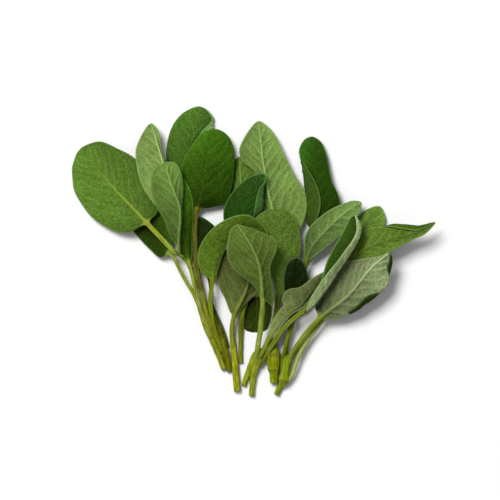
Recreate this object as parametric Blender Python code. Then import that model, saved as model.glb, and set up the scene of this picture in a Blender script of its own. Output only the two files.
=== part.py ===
"""A cut bunch of common sage, lying on a flat surface.

Twenty-four leaves, each one piece with its stalk, spread like a fan from eight cut
stems that lie side by side. Lengths in the tables are millimetres, +Z is up, the
surface is z = 0, and the origin is under the middle of the bunch. The leaves point
to +Y and the cut ends to -Y.
"""

import math
from dataclasses import dataclass

import bmesh
import bpy
import numpy as np

MM = 0.001

BLADE_THICKNESS = 0.5
RIB_HEIGHT = 0.85  # share of the stalk's radius that the midrib stands out at the blade's foot
RIB_AT_TIP = 0.25  # share of that height left at the tip
COLUMNS_PER_SIDE = 3  # faces between the midrib and one margin
COLUMNS_PER_FOLD = 5  # the same on a side whose margin is folded over
BLADE_ROWS = 11
LAST_ROW = 0.9  # how far the last row lies along the stretch that ends at the tip
ROW_CROWDING = 0.85  # below 1 the rows stand closer together towards the tip
FOLD_SHARE = 0.6  # where a fold lies on the way from the midrib to the folded margin
FOLD_ROUNDNESS = 0.9
RIB_FOOT = 1.3  # half-width of the midrib at the blade, in midrib heights
STALK_FLATNESS = 0.8  # a stalk's height over its middle on the upper side, in radii
TOP_PUFF = 0.05  # how far each half of a blade bulges, as a share of its width
UNDER_PUFF = -0.05
STEM_CORNER = 0.62  # half of a stem's flat side, as a share of its half-width

TOP_GREEN = (0.085, 0.190, 0.030)
UNDER_GREEN = (0.245, 0.330, 0.120)
STEM_GREEN = (0.300, 0.360, 0.040)


@dataclass(frozen=True)
class Leaf:
    """A leaf: its stalk's centre line, then points across the blade from margin to margin.

    Each row of the blade runs from the left margin over the midrib to the right one, as
    seen from the stalk towards the tip. A row with a fourth point has a folded margin:
    the fold comes first and the folded edge last, counted from the midrib.
    """

    name: str
    face: str  # the side that looks up: "top" or "under"
    stalk_radius: float
    stalk: tuple
    rows: tuple
    tip: tuple
    rib: int = 1  # the midrib's place in a row


@dataclass(frozen=True)
class Stem:
    """A cut stem: x, y, z and half-width along its centre line, from the cut end up."""

    name: str
    route: tuple


STEMS = (
    Stem(
        "stem_left_long",
        route=(
            (-13.25, -53, 1.1, 1.05), (-15.25, -47.25, 1.25, 1.2), (-17.75, -41.25, 1.45, 1.4),
            (-20.5, -35.5, 1.7, 1.35), (-22.75, -29.5, 2.3, 1.2), (-24.5, -24.75, 2.9, 1.15),
            (-27, -18.75, 3.6, 1.0), (-30.5, -13.5, 4.5, 0.9), (-33.25, -8, 5.6, 0.8),
            (-35, -3.75, 6.2, 0.75),
        ),
    ),
    Stem(
        "stem_left_short",
        route=(
            (-10.75, -54, 1, 0.95), (-12, -48, 1.2, 1.15), (-13.75, -42.25, 1.5, 1.4),
            (-15.5, -37.25, 1.8, 1.45), (-17.25, -33.5, 2.3, 1.3),
        ),
    ),
    Stem(
        "stem_middle_front",
        route=(
            (-7.25, -63, 1.4, 1.4), (-7.75, -57, 1.4, 1.4), (-8.25, -50.75, 1.4, 1.4),
            (-9, -44.5, 1.55, 1.35), (-9.5, -38.75, 2.2, 1.2),
        ),
    ),
    Stem(
        "stem_middle_back",
        route=(
            (-5.75, -50, 1, 0.9), (-5.75, -44.5, 1.1, 0.9), (-5.75, -36.75, 1.6, 1.0),
            (-5.25, -30, 2.3, 1.05), (-3.75, -23.75, 3, 1.05), (-2.5, -18.75, 3.6, 1.0),
            (-2, -16.25, 4, 0.95),
        ),
    ),
    Stem(
        "stem_fork_side",
        route=(
            (-4.5, -60.5, 1.1, 1.1), (-3.5, -57.5, 1.1, 1.1), (-2.75, -55, 1.15, 1.0),
        ),
    ),
    Stem(
        "stem_fork",
        route=(
            (-1, -65, 1.3, 1.1), (-0.5, -59.75, 1.3, 1.15), (0, -54.75, 1.6, 1.4),
            (1.25, -50.25, 2.3, 1.95), (2.75, -46.5, 3, 2.2), (4, -43.5, 3.6, 1.8),
        ),
    ),
    Stem(
        "stem_back",
        route=(
            (9, -59, 1.8, 1.65), (8.75, -54.25, 2, 1.8), (8.5, -49.75, 2.5, 2.4), (8.5, -45.75, 2.4, 2.2),
            (8.5, -40, 2.2, 1.7), (9, -34.5, 2.3, 1.5), (10, -29.5, 2.5, 1.3),
        ),
    ),
    Stem(
        "stem_right",
        route=(
            (10.25, -64.5, 1.3, 1.1), (11.5, -61.25, 1.35, 1.2), (13.25, -58.5, 2.1, 1.95),
            (14.25, -54, 2.3, 2.05), (15, -49.5, 2.7, 2.25), (16, -46.5, 3.1, 1.9),
        ),
    ),
)

LEAVES = (
    Leaf(
        "leaf_outer_left",
        face="top",
        stalk_radius=1.1,
        stalk=(
            (-35.5, -0.25, 8.8), (-39.25, 3.5, 9.3), (-43.5, 8, 9.5), (-46.25, 11.25, 9.3),
            (-48.25, 13.25, 9),
        ),
        rows=(
            ((-53.75, 9, 6.5), (-50, 15, 9.1), (-43, 16.5, 7.6)),
            ((-61, 8.75, 5), (-53.25, 18.5, 9), (-42.75, 24, 7.2)),
            ((-69.5, 13, 3.4), (-57.5, 23, 8.6), (-45.75, 31.25, 6.4)),
            ((-76.25, 19.75, 2), (-62.5, 28.25, 7.8), (-51.75, 40.5, 5.2)),
            ((-80.75, 28, 0.4), (-67.75, 34, 6.4), (-61, 46, 3.4)),
            ((-81.5, 36.5, 0.1), (-73, 40.25, 4.4), (-69.75, 49.25, 1.6)),
        ),
        tip=(-78.25, 45.5, 0.7),
    ),
    Leaf(
        "leaf_under_left",
        face="top",
        stalk_radius=0.8,
        stalk=(
            (-36, -2.5, 5.4), (-37, -1.5, 5.2), (-38, -0.25, 5),
        ),
        rows=(
            ((-41.5, -3.25, 3.6), (-39.75, 1.25, 4.8), (-36.25, 4.5, 4.8)),
            ((-47, 1.25, 2.4), (-43.75, 5.75, 4.4), (-38, 12.75, 4.6)),
            ((-52.5, 7.25, 1.6), (-47.25, 11, 3.8), (-41.5, 20.25, 4.2)),
            ((-57.5, 14.5, 0.32), (-51, 16.75, 3), (-47, 26.25, 3.4)),
        ),
        tip=(-56, 24, 0.3),
    ),
    Leaf(
        "leaf_tall_left",
        face="under",
        stalk_radius=0.7,
        stalk=(
            (-33.5, 0, 9.8), (-33.5, 2, 10.2),
        ),
        rows=(
            ((-37, 6.25, 9.9), (-33.5, 5, 11.2), (-33, 6.75, 9.9)),
            ((-40.25, 14, 10.4), (-33, 13.25, 12.2), (-32.25, 15.75, 9.5)),
            ((-43.5, 19.75, 11), (-33, 20, 13), (-31.75, 24, 8.8)),
            ((-45.25, 25.25, 11.6), (-35.25, 25.75, 13.3), (-31.75, 30.25, 9.2)),
            ((-46, 31.5, 12), (-37.25, 31.5, 13.2), (-32.5, 35.75, 10.8)),
            ((-44.25, 37, 12.2), (-38.5, 36, 12.9), (-35, 39.5, 11.2)),
        ),
        tip=(-39, 40, 11.8),
    ),
    Leaf(
        "leaf_pale_left",
        face="under",
        stalk_radius=0.65,
        stalk=(
            (-33, -1.5, 7.8), (-34.5, 3.75, 8.3), (-36.25, 9.5, 8.6),
        ),
        rows=(
            ((-41, 16.75, 8.9), (-37.75, 15.75, 9.3), (-35, 17.25, 9)),
            ((-44.75, 21.5, 9.4), (-38.75, 21.75, 10.1), (-34.5, 23, 9.6)),
            ((-48.5, 26.5, 9.4), (-39.25, 27.5, 10.5), (-34.5, 29, 9.6)),
            ((-51.25, 32.75, 8.9), (-39.75, 33.5, 10.7), (-35.75, 34.25, 9.8)),
            ((-52.5, 39.5, 8.1), (-40.5, 39, 10.6), (-39.25, 38.25, 9.6)),
            ((-52.75, 46, 6.8), (-42.75, 47, 10.2), (-41.5, 46.75, 8.2)),
            ((-50.5, 51.5, 5.6), (-44.5, 52.5, 8.2), (-42.5, 53.75, 6.4)),
        ),
        tip=(-46, 57.5, 4.8),
    ),
    Leaf(
        "leaf_behind_tall",
        face="top",
        stalk_radius=0.85,
        stalk=(
            (-23.25, -27.25, 5.5), (-25, -22, 5.9), (-26.25, -16, 5.8), (-27.75, -10.25, 4.9),
            (-29, -5.75, 4.5),
        ),
        rows=(
            ((-32.5, -2.75, 4.4), (-30, -1.25, 4.8), (-27.5, -1.25, 4.3)),
            ((-35, 3.75, 5.2), (-31, 5, 5.4), (-27.5, 6.75, 4.8)),
            ((-38, 12.25, 5.6), (-32.25, 12.25, 6), (-27, 15.5, 5.2)),
            ((-39.75, 21.25, 5.6), (-33.25, 19.5, 6.2), (-27.25, 21.75, 5.4)),
            ((-39.75, 29.25, 5.2), (-34.5, 26.75, 6), (-28.75, 28.25, 5.6)),
            ((-39, 34.25, 5), (-35.25, 32.5, 5.7), (-31.5, 32.75, 5.4)),
        ),
        tip=(-36.25, 37, 5.2),
    ),
    Leaf(
        "leaf_oval",
        face="top",
        stalk_radius=1.05,
        stalk=(
            (-20, -31.75, 4.8), (-21.5, -26, 4.6), (-22.75, -20.5, 4.5), (-24, -14.25, 4.3),
            (-25.25, -7.5, 4.2), (-26, -0.25, 4.2), (-26.25, 6.5, 4.2), (-26.25, 13.25, 4.3),
            (-25.75, 18.5, 4.6),
        ),
        rows=(
            ((-28.5, 20.5, 3.8), (-24.75, 21.75, 5.6), (-19.5, 19.5, 4.4)),
            ((-31.25, 28.5, 3.8), (-23.5, 26.75, 6.6), (-12.5, 21.75, 4.4)),
            ((-32.25, 36, 4.6), (-22.5, 33, 7.4), (-9.75, 29.25, 4.6)),
            ((-30.75, 42.25, 5.6), (-21.5, 39.75, 7.4), (-8.75, 36.5, 4.8)),
            ((-27.25, 48, 5.8), (-20.5, 45.5, 6.8), (-8.75, 44.25, 4.6)),
            ((-23.25, 53, 5.2), (-19.25, 50.5, 6), (-10.75, 51.25, 4.2)),
        ),
        tip=(-17, 55, 4.4),
    ),
    Leaf(
        "leaf_back_left",
        face="top",
        stalk_radius=0.9,
        stalk=(
            (-20, -27.25, 2.4), (-22.75, -21, 2.2), (-25.75, -13.5, 1.8), (-28, -4.75, 1.6),
            (-29.25, 3.25, 1.5), (-29.5, 11.25, 1.6),
        ),
        rows=(
            ((-32.75, 16.75, 1.6), (-29.5, 16.75, 1.9), (-26.75, 19.25, 1.75), (-26, 19.75, 1.7)),
            ((-35.75, 27.5, 1.4), (-29.5, 24.75, 2.2), (-22.25, 27, 2), (-21.5, 27.75, 1.9)),
            ((-38.5, 36.5, 1), (-29.25, 33, 2.4), (-18.75, 35.25, 2), (-20, 32, 2.4)),
            ((-39.25, 44.25, 0.6), (-28.75, 41, 2.4), (-18, 44.75, 1.8), (-24.5, 42.75, 3.6)),
            ((-38.25, 51.5, 0.2), (-28, 49.25, 2.2), (-17.75, 51.5, 1.8), (-24.75, 51, 3.8)),
            ((-35.5, 58, 0.1), (-26.5, 56.25, 1.9), (-18.25, 57.25, 2), (-21.5, 56, 3.4)),
            ((-30.5, 63, 0.1), (-24.75, 61.75, 1.5), (-18, 60.25, 1.7), (-18.5, 59.25, 2.4)),
        ),
        tip=(-23.75, 65, 0.35),
    ),
    Leaf(
        "leaf_dark_small",
        face="top",
        stalk_radius=0.55,
        stalk=(
            (-12.5, -38.5, 1.3), (-14.25, -33.75, 1.8), (-17, -27.25, 2.6), (-19, -22.5, 3),
            (-19.5, -17, 2.6), (-20.25, -12, 2.6),
        ),
        rows=(
            ((-23.5, -9.25, 2.4), (-21, -8.5, 3), (-18, -7.5, 3.2)),
            ((-24.5, -3, 2.4), (-21.5, -3, 3.4), (-16, -1.25, 3.6)),
            ((-24.75, 3.75, 2.4), (-21.75, 3.25, 3.6), (-15.25, 5, 3.8)),
            ((-25, 10, 2.2), (-22.75, 9, 3.2), (-17.25, 11, 3.4)),
        ),
        tip=(-24.25, 15.25, 2),
    ),
    Leaf(
        "leaf_arching",
        face="top",
        stalk_radius=1.0,
        stalk=(
            (-18.25, -32.25, 6.2), (-19, -27.25, 6.5), (-19.5, -22, 6.8), (-19, -17, 7.4),
            (-18.5, -12.75, 7.8),
        ),
        rows=(
            ((-22.5, -10.75, 7), (-18.25, -9, 8.6), (-16.25, -9.5, 7.6)),
            ((-24.75, -5.25, 7.6), (-18, -3, 10), (-14.5, -3, 8.8)),
            ((-24.25, 1.5, 9), (-17, 2.75, 11.6), (-12.5, 2, 10.2)),
            ((-21, 7.5, 11.2), (-14.25, 7.25, 13.4), (-10.5, 5, 11.8)),
            ((-15.5, 12.5, 13.2), (-9.75, 10.25, 14.4), (-6, 6, 12.8)),
            ((-8, 15.75, 14.8), (-4.25, 11.25, 14.2), (-0.75, 6, 12.8)),
            ((-1.5, 16, 14.4), (1, 10.75, 13.4), (3.5, 6, 12.4)),
        ),
        tip=(6.5, 8.25, 12.6),
    ),
    Leaf(
        "leaf_blue_tip",
        face="top",
        stalk_radius=0.9,
        stalk=(
            (-1.25, -10.75, 5.4), (-3, -4, 5.7), (-5.25, 2.75, 6.3), (-7, 7.75, 7.4),
        ),
        rows=(
            ((-12.5, 11, 6.8), (-7, 11.25, 8.4), (-1, 13.5, 8.4), (-0.25, 14, 8.4)),
            ((-13.5, 18, 7.4), (-5.5, 17.25, 9.6), (3.75, 18.5, 9.6), (0.5, 17.25, 11.6)),
            ((-11, 24.25, 8.4), (-3, 22.5, 10.6), (4, 24.5, 10.8), (1, 23.25, 12.6)),
            ((-6.25, 29.75, 9.4), (0.25, 27.5, 11.4), (4.75, 29.25, 11.4), (3, 28.25, 12.8)),
            ((-1, 33.5, 10.2), (3.25, 31.5, 11.6), (5.5, 32.25, 11.4), (5.25, 31.5, 12)),
        ),
        tip=(5, 34.75, 11.2),
    ),
    Leaf(
        "leaf_sliver",
        face="under",
        stalk_radius=0.75,
        stalk=(
            (-2, -12.5, 3.8), (-3, -5.75, 3.2), (-4.5, 1.5, 2.6), (-5.75, 7.75, 2.2),
        ),
        rows=(
            ((-10, 12.75, 2), (-5.75, 12.25, 2.4), (-1.5, 13.5, 2.8)),
            ((-11.5, 21.25, 1.8), (-5.5, 19.5, 2.8), (0.75, 21.75, 3)),
            ((-11.5, 29.25, 1.4), (-5.5, 27.5, 2.8), (1, 30.25, 2.8)),
            ((-10.25, 37, 0.2), (-5.75, 35.25, 2.2), (-0.25, 38, 2.2)),
        ),
        tip=(-6.5, 42.5, 0.3),
    ),
    Leaf(
        "leaf_tall_centre",
        face="under",
        stalk_radius=1.1,
        stalk=(
            (10.25, -25.5, 3), (11.25, -18.75, 3.2), (12.25, -11.25, 3.8), (12.75, -4.5, 4.6),
            (12.5, 1, 5.4),
        ),
        rows=(
            ((6.5, 5, 5.4), (11.75, 6, 6.2), (17.75, 4.5, 5)),
            ((1, 11.25, 6), (10.25, 11.75, 7.2), (21.75, 11.5, 4.8)),
            ((-0.75, 20, 5.4), (8.75, 18, 7.8), (24, 20, 4.6)),
            ((0.75, 28.5, 4.8), (7, 24.25, 8), (22.75, 27.25, 4.6)),
            ((0.25, 36, 5), (5.75, 31.25, 7.8), (19.5, 32.25, 4.8)),
            ((-4.75, 40, 4.2), (4.75, 37.5, 7.4), (16.25, 38.25, 4.8)),
            ((-6.5, 45, 3.2), (3.75, 43.75, 6.6), (13.25, 44.75, 4.6)),
            ((-4.25, 50.75, 2.4), (3.25, 50, 5.2), (10.5, 50.75, 3.8)),
            ((-1, 55.75, 1), (2.75, 54.75, 3.6), (6.5, 56, 2.6)),
        ),
        tip=(2.5, 58.5, 0.8),
    ),
    Leaf(
        "leaf_bright_right",
        face="top",
        stalk_radius=0.95,
        stalk=(
            (10.5, -27, 5.4), (11, -23.75, 5.6), (11.5, -20.25, 5.9),
        ),
        rows=(
            ((10.5, -16.75, 5.9), (11.75, -17.5, 6.3), (12.75, -17, 5.6)),
            ((8.75, -11.75, 6.5), (12, -13.25, 7), (14.25, -12.5, 5.6)),
            ((6.25, -6.75, 7.9), (12, -7.75, 8.2), (16.5, -7, 5.8)),
            ((3.75, -1.75, 9), (11.75, -2.25, 9.2), (20.5, -2.25, 6.4)),
            ((0.5, 4.5, 9), (11, 3.75, 10), (21.25, 4.5, 7.4)),
            ((-0.75, 10, 9.6), (10.5, 9, 10.6), (20.25, 10.75, 8.2)),
            ((0.75, 14.75, 9.6), (10, 14, 10.6), (18, 15.25, 8.6)),
            ((4.5, 17.75, 9.4), (10.25, 17.25, 10.2), (15.25, 18.25, 8.8)),
        ),
        tip=(10.5, 19, 9.4),
    ),
    Leaf(
        "leaf_small_dark_right",
        face="top",
        stalk_radius=0.75,
        stalk=(
            (12.5, -26.75, 4.4), (14.25, -24.75, 4.9), (16.25, -23.25, 5.4),
        ),
        rows=(
            ((14.5, -21, 5.4), (17.75, -20.25, 6.2), (21.75, -20.25, 5.6)),
            ((13.25, -15.25, 6.8), (18.75, -14.75, 7.4), (25, -15, 6.2)),
            ((13.75, -9.25, 8.3), (19, -9.25, 8.6), (24.5, -9.75, 7.2)),
            ((15.5, -4.75, 8.9), (19.25, -5.5, 9.2), (22.75, -5, 8.1)),
        ),
        tip=(19.5, -2.5, 9.1),
    ),
    Leaf(
        "leaf_front",
        face="under",
        stalk_radius=1.2,
        stalk=(
            (1.75, -44, 6.8), (2.25, -40.5, 7.7), (3, -36, 8.8), (3.5, -31, 10.6), (4, -26, 13.2),
            (4.25, -21.5, 15.4),
        ),
        rows=(
            ((2.25, -18, 15.6), (4, -18.75, 16.8), (8.25, -25, 12.6)),
            ((-1.25, -14, 16.6), (3.75, -14.75, 18.6), (9.25, -18.25, 14.8)),
            ((-6, -10.5, 17.6), (3.25, -10.25, 20.6), (7.75, -11.5, 17)),
            ((-10.25, -5.25, 18.6), (2.5, -6, 22.2), (7.75, -5.75, 18.6)),
            ((-12, -0.75, 19.8), (1, -1.75, 23.4), (10, -0.5, 19.2)),
            ((-11.5, 4.5, 20.6), (-1, 2, 24), (10.25, 4.75, 19.2)),
            ((-10.5, 8.25, 21), (-3, 5.5, 24), (4.25, 8.25, 20.6)),
            ((-9.5, 10.5, 21.2), (-5.5, 9, 23.2), (-2.5, 10.5, 21.6)),
        ),
        tip=(-7.5, 12, 21.6),
    ),
    Leaf(
        "leaf_olive",
        face="under",
        stalk_radius=1.15,
        stalk=(
            (-9.75, -37.75, 2.9), (-9.5, -33.25, 3.7), (-8.75, -28.75, 4.7),
        ),
        rows=(
            ((-10.75, -26.75, 5), (-7.25, -25.25, 6.2), (-4.5, -24.75, 5.2)),
            ((-12.75, -21.25, 4.8), (-5.25, -21.5, 7.4), (-0.75, -20.75, 5.8)),
            ((-15.25, -16, 4.8), (-3.25, -17, 8.6), (3.5, -16.5, 6.8)),
            ((-16.5, -10.5, 5), (-2, -11.5, 9.4), (5.5, -10.25, 7.4)),
            ((-15.5, -4, 5.6), (-1.5, -5.25, 9.6), (5.5, -3, 7.8)),
            ((-11.5, 1.5, 6.8), (-2, 0.5, 9.2), (3, 2, 7.8)),
        ),
        tip=(-3.5, 5, 8.4),
    ),
    Leaf(
        "leaf_low_centre",
        face="top",
        stalk_radius=0.7,
        stalk=(
            (0.25, -15.5, 4), (1, -17.25, 3.8), (1, -19.25, 3.4),
        ),
        rows=(
            ((6.75, -21, 2.2), (1.5, -22, 2.9), (-2, -21.25, 1.6)),
            ((8, -26, 1.4), (1.5, -26.5, 2.3), (-3.5, -26.5, 0.8)),
            ((7.5, -31.25, 0.8), (1.25, -31, 1.6), (-4, -31.5, 0.4)),
            ((5.5, -35.25, 0.4), (1, -34.25, 1), (-4, -35.25, 0.2)),
        ),
        tip=(0.75, -36.25, 0.3),
    ),
    Leaf(
        "leaf_pale_low",
        face="under",
        stalk_radius=1.0,
        stalk=(
            (4, -45, 6.6), (5.25, -42.25, 6.8), (6.75, -40, 7),
        ),
        rows=(
            ((6.75, -35.5, 6.9), (8.5, -36.75, 7.4), (10, -37.5, 7.1)),
            ((9.25, -30, 7.3), (11.75, -32.5, 7.9), (13, -33.25, 7.6)),
            ((11.75, -26.25, 7.4), (14.5, -28.75, 8.1), (15.5, -29.75, 7.8)),
            ((13.5, -24.5, 7), (18.25, -26, 8.3), (19, -27.25, 7.8)),
            ((13.25, -23.5, 6.6), (21.5, -24, 8.6), (23.25, -25, 7.6)),
            ((12.5, -21.75, 6.8), (22.5, -22.5, 9), (25, -22.5, 7.4)),
            ((15, -17.25, 8), (24.25, -20.25, 9.4), (27.25, -20, 7.4)),
            ((21, -16, 9), (26.75, -17.5, 9.6), (30, -16.5, 7.6)),
            ((26, -12.25, 9), (29.75, -14, 9.3), (33, -13, 7.4)),
            ((30.5, -9.75, 8.7), (32.75, -10.75, 9), (35.5, -9.75, 7.6)),
        ),
        tip=(36.75, -6.75, 8.3),
    ),
    Leaf(
        "leaf_folded",
        face="top",
        stalk_radius=0.95,
        stalk=(
            (6.75, -44.5, 6), (8.25, -42.5, 6.1), (10, -39.75, 6.5), (13.25, -35.25, 7.4), (17, -31.5, 8.6),
            (20, -28.75, 9.6), (22.75, -27, 10.4),
        ),
        rows=(
            ((25.25, -23, 11.4), (26.5, -24.5, 11), (24.5, -23.25, 12.6)),
            ((28.75, -16.75, 13), (30.5, -19.5, 12.6), (27.5, -17.5, 15)),
            ((31, -10.75, 13.6), (34.25, -14.25, 13.6), (30.75, -13.25, 16.4)),
            ((32.5, -5.75, 14), (37.5, -9, 14.6), (34, -9, 17.6)),
            ((34.75, -0.5, 14.2), (41.25, -4, 15.4), (37.5, -4.5, 18.2)),
            ((37, 3.75, 14), (44.25, 0.75, 15.8), (41.25, 0.5, 18.2)),
            ((39.5, 8, 13.6), (46.75, 5, 15.8), (44, 4.5, 17.6)),
            ((41.5, 11.75, 13), (48, 9.25, 15.2), (46, 8.75, 16.7)),
            ((43.5, 15, 12.6), (47.5, 13.25, 14.3), (46, 12, 15.6)),
        ),
        tip=(45.25, 16, 13.2),
    ),
    Leaf(
        "leaf_pale_right",
        face="under",
        stalk_radius=0.9,
        stalk=(
            (14.25, -43.5, 4.6), (15.5, -38.25, 5), (17.25, -33.25, 5), (19, -27.25, 4.4),
            (21, -20.25, 3.8), (22.75, -12, 4), (23.75, -4.75, 5.6),
        ),
        rows=(
            ((22.75, 0.5, 6.4), (25, -0.25, 7), (26.5, -2.75, 6.4)),
            ((23, 6.5, 6.8), (27.25, 3.25, 8), (30, -0.25, 6.8)),
            ((25.5, 11.25, 7.4), (30.5, 7, 8.8), (33.75, 2.5, 7)),
            ((30, 15.5, 7.8), (34, 11, 9), (37.5, 6, 7)),
            ((35.25, 19.25, 7.6), (38, 14.75, 8.6), (41.25, 9, 7)),
            ((41, 21.5, 6.8), (42, 18, 7.8), (45, 13.5, 6.6)),
            ((45, 22.75, 6.2), (45.75, 20.5, 6.8), (48, 18, 6)),
        ),
        tip=(48.5, 22, 5.8),
    ),
    Leaf(
        "leaf_top_right",
        face="top",
        stalk_radius=0.85,
        stalk=(
            (15, -43, 2), (15.75, -37.75, 2), (17, -31, 2), (18.75, -23.25, 1.3), (20.5, -15.25, 0.95),
            (22.5, -7.5, 1.2), (25.25, -1.25, 2), (28, 3.75, 2.8), (30.25, 7.75, 3.6),
        ),
        rows=(
            ((27.75, 10.75, 4.8), (25, 11, 3), (30.5, 12.25, 4.4), (35.25, 12.25, 4)),
            ((29.75, 17.75, 6.4), (23.5, 19, 3.2), (30, 19.5, 5.2), (39, 18.5, 4.6)),
            ((29.75, 24.75, 6.8), (23.5, 26.75, 3), (29.5, 26.25, 5.6), (38.25, 24.75, 5)),
            ((27.75, 31.5, 6.6), (22.75, 33.5, 2.6), (28.75, 33, 5.6), (35.25, 31.25, 5)),
            ((23.5, 38.25, 4.2), (21.25, 40, 2.2), (28, 39.25, 5.2), (34, 38, 4.4)),
            ((20.25, 45, 0.5), (21.25, 44.75, 0.9), (27.25, 45, 4.2), (32.5, 44, 3.6)),
            ((22.5, 50, 0.3), (23.5, 49.5, 0.6), (26.5, 49, 3), (30.25, 49.25, 2.4)),
        ),
        tip=(26.25, 51.5, 0.6),
        rib=2,
    ),
    Leaf(
        "leaf_far_back_right",
        face="top",
        stalk_radius=0.8,
        stalk=(
            (19, -45.25, 1.4), (22.75, -40.5, 1.1), (26.75, -35, 0.9), (30.5, -29.25, 1), (34, -22.5, 1.7),
            (37.5, -15.25, 2.2), (41, -8, 3),
        ),
        rows=(
            ((39.75, -2.25, 2.8), (43, -3.5, 3.4), (46.5, -4.75, 3)),
            ((40.5, 4.25, 2.4), (45.75, 2, 3.6), (51, 0, 3)),
            ((43.5, 11, 2), (48.75, 7.75, 3.4), (55, 6, 2.8)),
            ((47.75, 16.25, 0.8), (52, 13.25, 2.8), (58.25, 11, 2.6)),
            ((51.75, 19.25, 0.2), (54.5, 17.25, 2), (59.25, 15.25, 2)),
        ),
        tip=(57, 20, 0.5),
    ),
    Leaf(
        "leaf_outer_right",
        face="under",
        stalk_radius=0.9,
        stalk=(
            (17.5, -55.25, 3.2), (18.75, -51.75, 3.6), (20.5, -47.25, 4), (22.75, -42.75, 4.2),
            (25.75, -38.25, 4.2), (29, -33.75, 4.2), (32.5, -29.25, 4.4), (36.25, -22, 4.8),
            (39, -14.25, 5.6), (41, -7.5, 6.8),
        ),
        rows=(
            ((43.75, 3.25, 7), (44, 1.5, 7.4), (44, -3, 8), (48.5, -4.75, 7.4)),
            ((49.75, 9, 7.6), (49.25, 6.75, 8.2), (49.75, 1, 9.6), (54.75, -2.75, 9)),
            ((56.25, 11, 9.2), (55.5, 8.75, 9.6), (56, 3.75, 10.8), (61, -0.25, 10.2)),
            ((62, 10.75, 12), (62, 12, 10.6), (62, 5.5, 11.6), (67, 3, 10.8)),
            ((68.25, 10, 12.6), (68.25, 12.25, 11), (67.75, 7, 11.8), (72.5, 5.75, 11)),
            ((74, 9.5, 12.3), (74.5, 11.25, 11), (73.5, 8.75, 11.6), (77.25, 8, 11)),
        ),
        tip=(81.5, 12.75, 10.6),
        rib=2,
    ),
    Leaf(
        "leaf_big_right",
        face="under",
        stalk_radius=1.15,
        stalk=(
            (18, -45, 4.6), (21, -40.5, 5.6), (24, -36.25, 6.4), (27.25, -32.75, 7), (30, -30, 7.6),
        ),
        rows=(
            ((27.5, -25, 7.2), (32.5, -27.75, 8.2), (35, -29.75, 7.4), (35.75, -30.5, 7)),
            ((28, -18.75, 7.8), (35.75, -25.25, 9.2), (40, -29.25, 7.4), (39.75, -28.75, 8.9)),
            ((32.5, -12.5, 8.4), (39.75, -22.25, 10.4), (42.5, -28.25, 8.4), (42, -27.25, 9.4)),
            ((38.5, -6.75, 9.2), (44, -18.25, 11.6), (48, -25.75, 9), (46.75, -24, 10.4)),
            ((44.25, -4.25, 9.8), (47.75, -13.5, 12.6), (53, -21.75, 9.7), (51.75, -20, 11)),
            ((49.75, -3.25, 10.4), (51, -9.25, 13), (57.75, -17.5, 10.2), (56.5, -16.5, 11.3)),
            ((53.75, -2.75, 11), (54.25, -6, 13), (60.75, -11.75, 10.5), (59.75, -11.25, 11.6)),
            ((57.25, -2, 11.4), (57.25, -3.75, 12.6), (61.5, -6.75, 11), (59.5, -7.5, 12.2)),
            ((59.25, -1, 11.6), (59.5, -2, 12.2), (62, -2.75, 11.2), (60.75, -3.5, 12.2)),
        ),
        tip=(60.75, -0.5, 11.6),
    ),
)


def hermite(f, start, end, pull_start, pull_end):
    """A cubic between two points that leaves and arrives along the given pulls."""
    return (
        (2 * f**3 - 3 * f**2 + 1) * start
        + (f**3 - 2 * f**2 + f) * pull_start
        + (3 * f**2 - 2 * f**3) * end
        + (f**3 - f**2) * pull_end
    )


def smooth_rail(points, before, after, places):
    """Reads a smooth curve through the points at places counted in points."""
    points = np.asarray(points, float)
    path = np.vstack([before, points, after])
    steps = np.maximum(np.linalg.norm(np.diff(path, axis=0), axis=1), 1e-6) ** 0.5
    slopes = np.diff(path, axis=0) / steps[:, None]
    # Each point's tangent leans towards the shorter of its two neighbouring stretches.
    share = steps[1:] / (steps[1:] + steps[:-1])
    tangents = slopes[:-1] * share[:, None] + slopes[1:] * (1 - share[:, None])
    last = len(points) - 2
    index = np.clip(np.floor(places).astype(int), 0, last)
    f = (places - index)[:, None]
    step = steps[1:-1][index][:, None]
    start, end = points[index], points[index + 1]
    pull_start, pull_end = tangents[index] * step, tangents[index + 1] * step
    return hermite(f, start, end, pull_start, pull_end)


def unit(vectors):
    """Scales vectors to length one."""
    length = np.linalg.norm(vectors, axis=-1, keepdims=True)
    return vectors / np.maximum(length, 1e-9)


def leaf_rails(leaf, places):
    """The curves that run along a leaf, from its left margin to its right one."""
    stalk = np.asarray(leaf.stalk, float)
    rows = np.asarray(leaf.rows, float)
    tip = np.asarray(leaf.tip, float)
    ahead = np.gradient(stalk, axis=0)
    sideways = unit(np.cross((0.0, 0.0, 1.0), ahead))
    count = rows.shape[1]
    rails = []
    for k in range(count):
        if k < leaf.rib:
            offset = leaf.stalk_radius * (leaf.rib - k) / leaf.rib
        else:
            offset = -leaf.stalk_radius * (k - leaf.rib) / (count - 1 - leaf.rib)
        points = np.vstack([stalk + offset * sideways, rows[:, k], tip])
        before = 2 * points[0] - points[1]
        if k == leaf.rib:
            after = 2 * tip - rows[-1, k]
        else:
            after = rows[-1, -1] if k < leaf.rib else rows[-1, 0]
        rails.append(smooth_rail(points, before, after, places))
    return np.array(rails)


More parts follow.
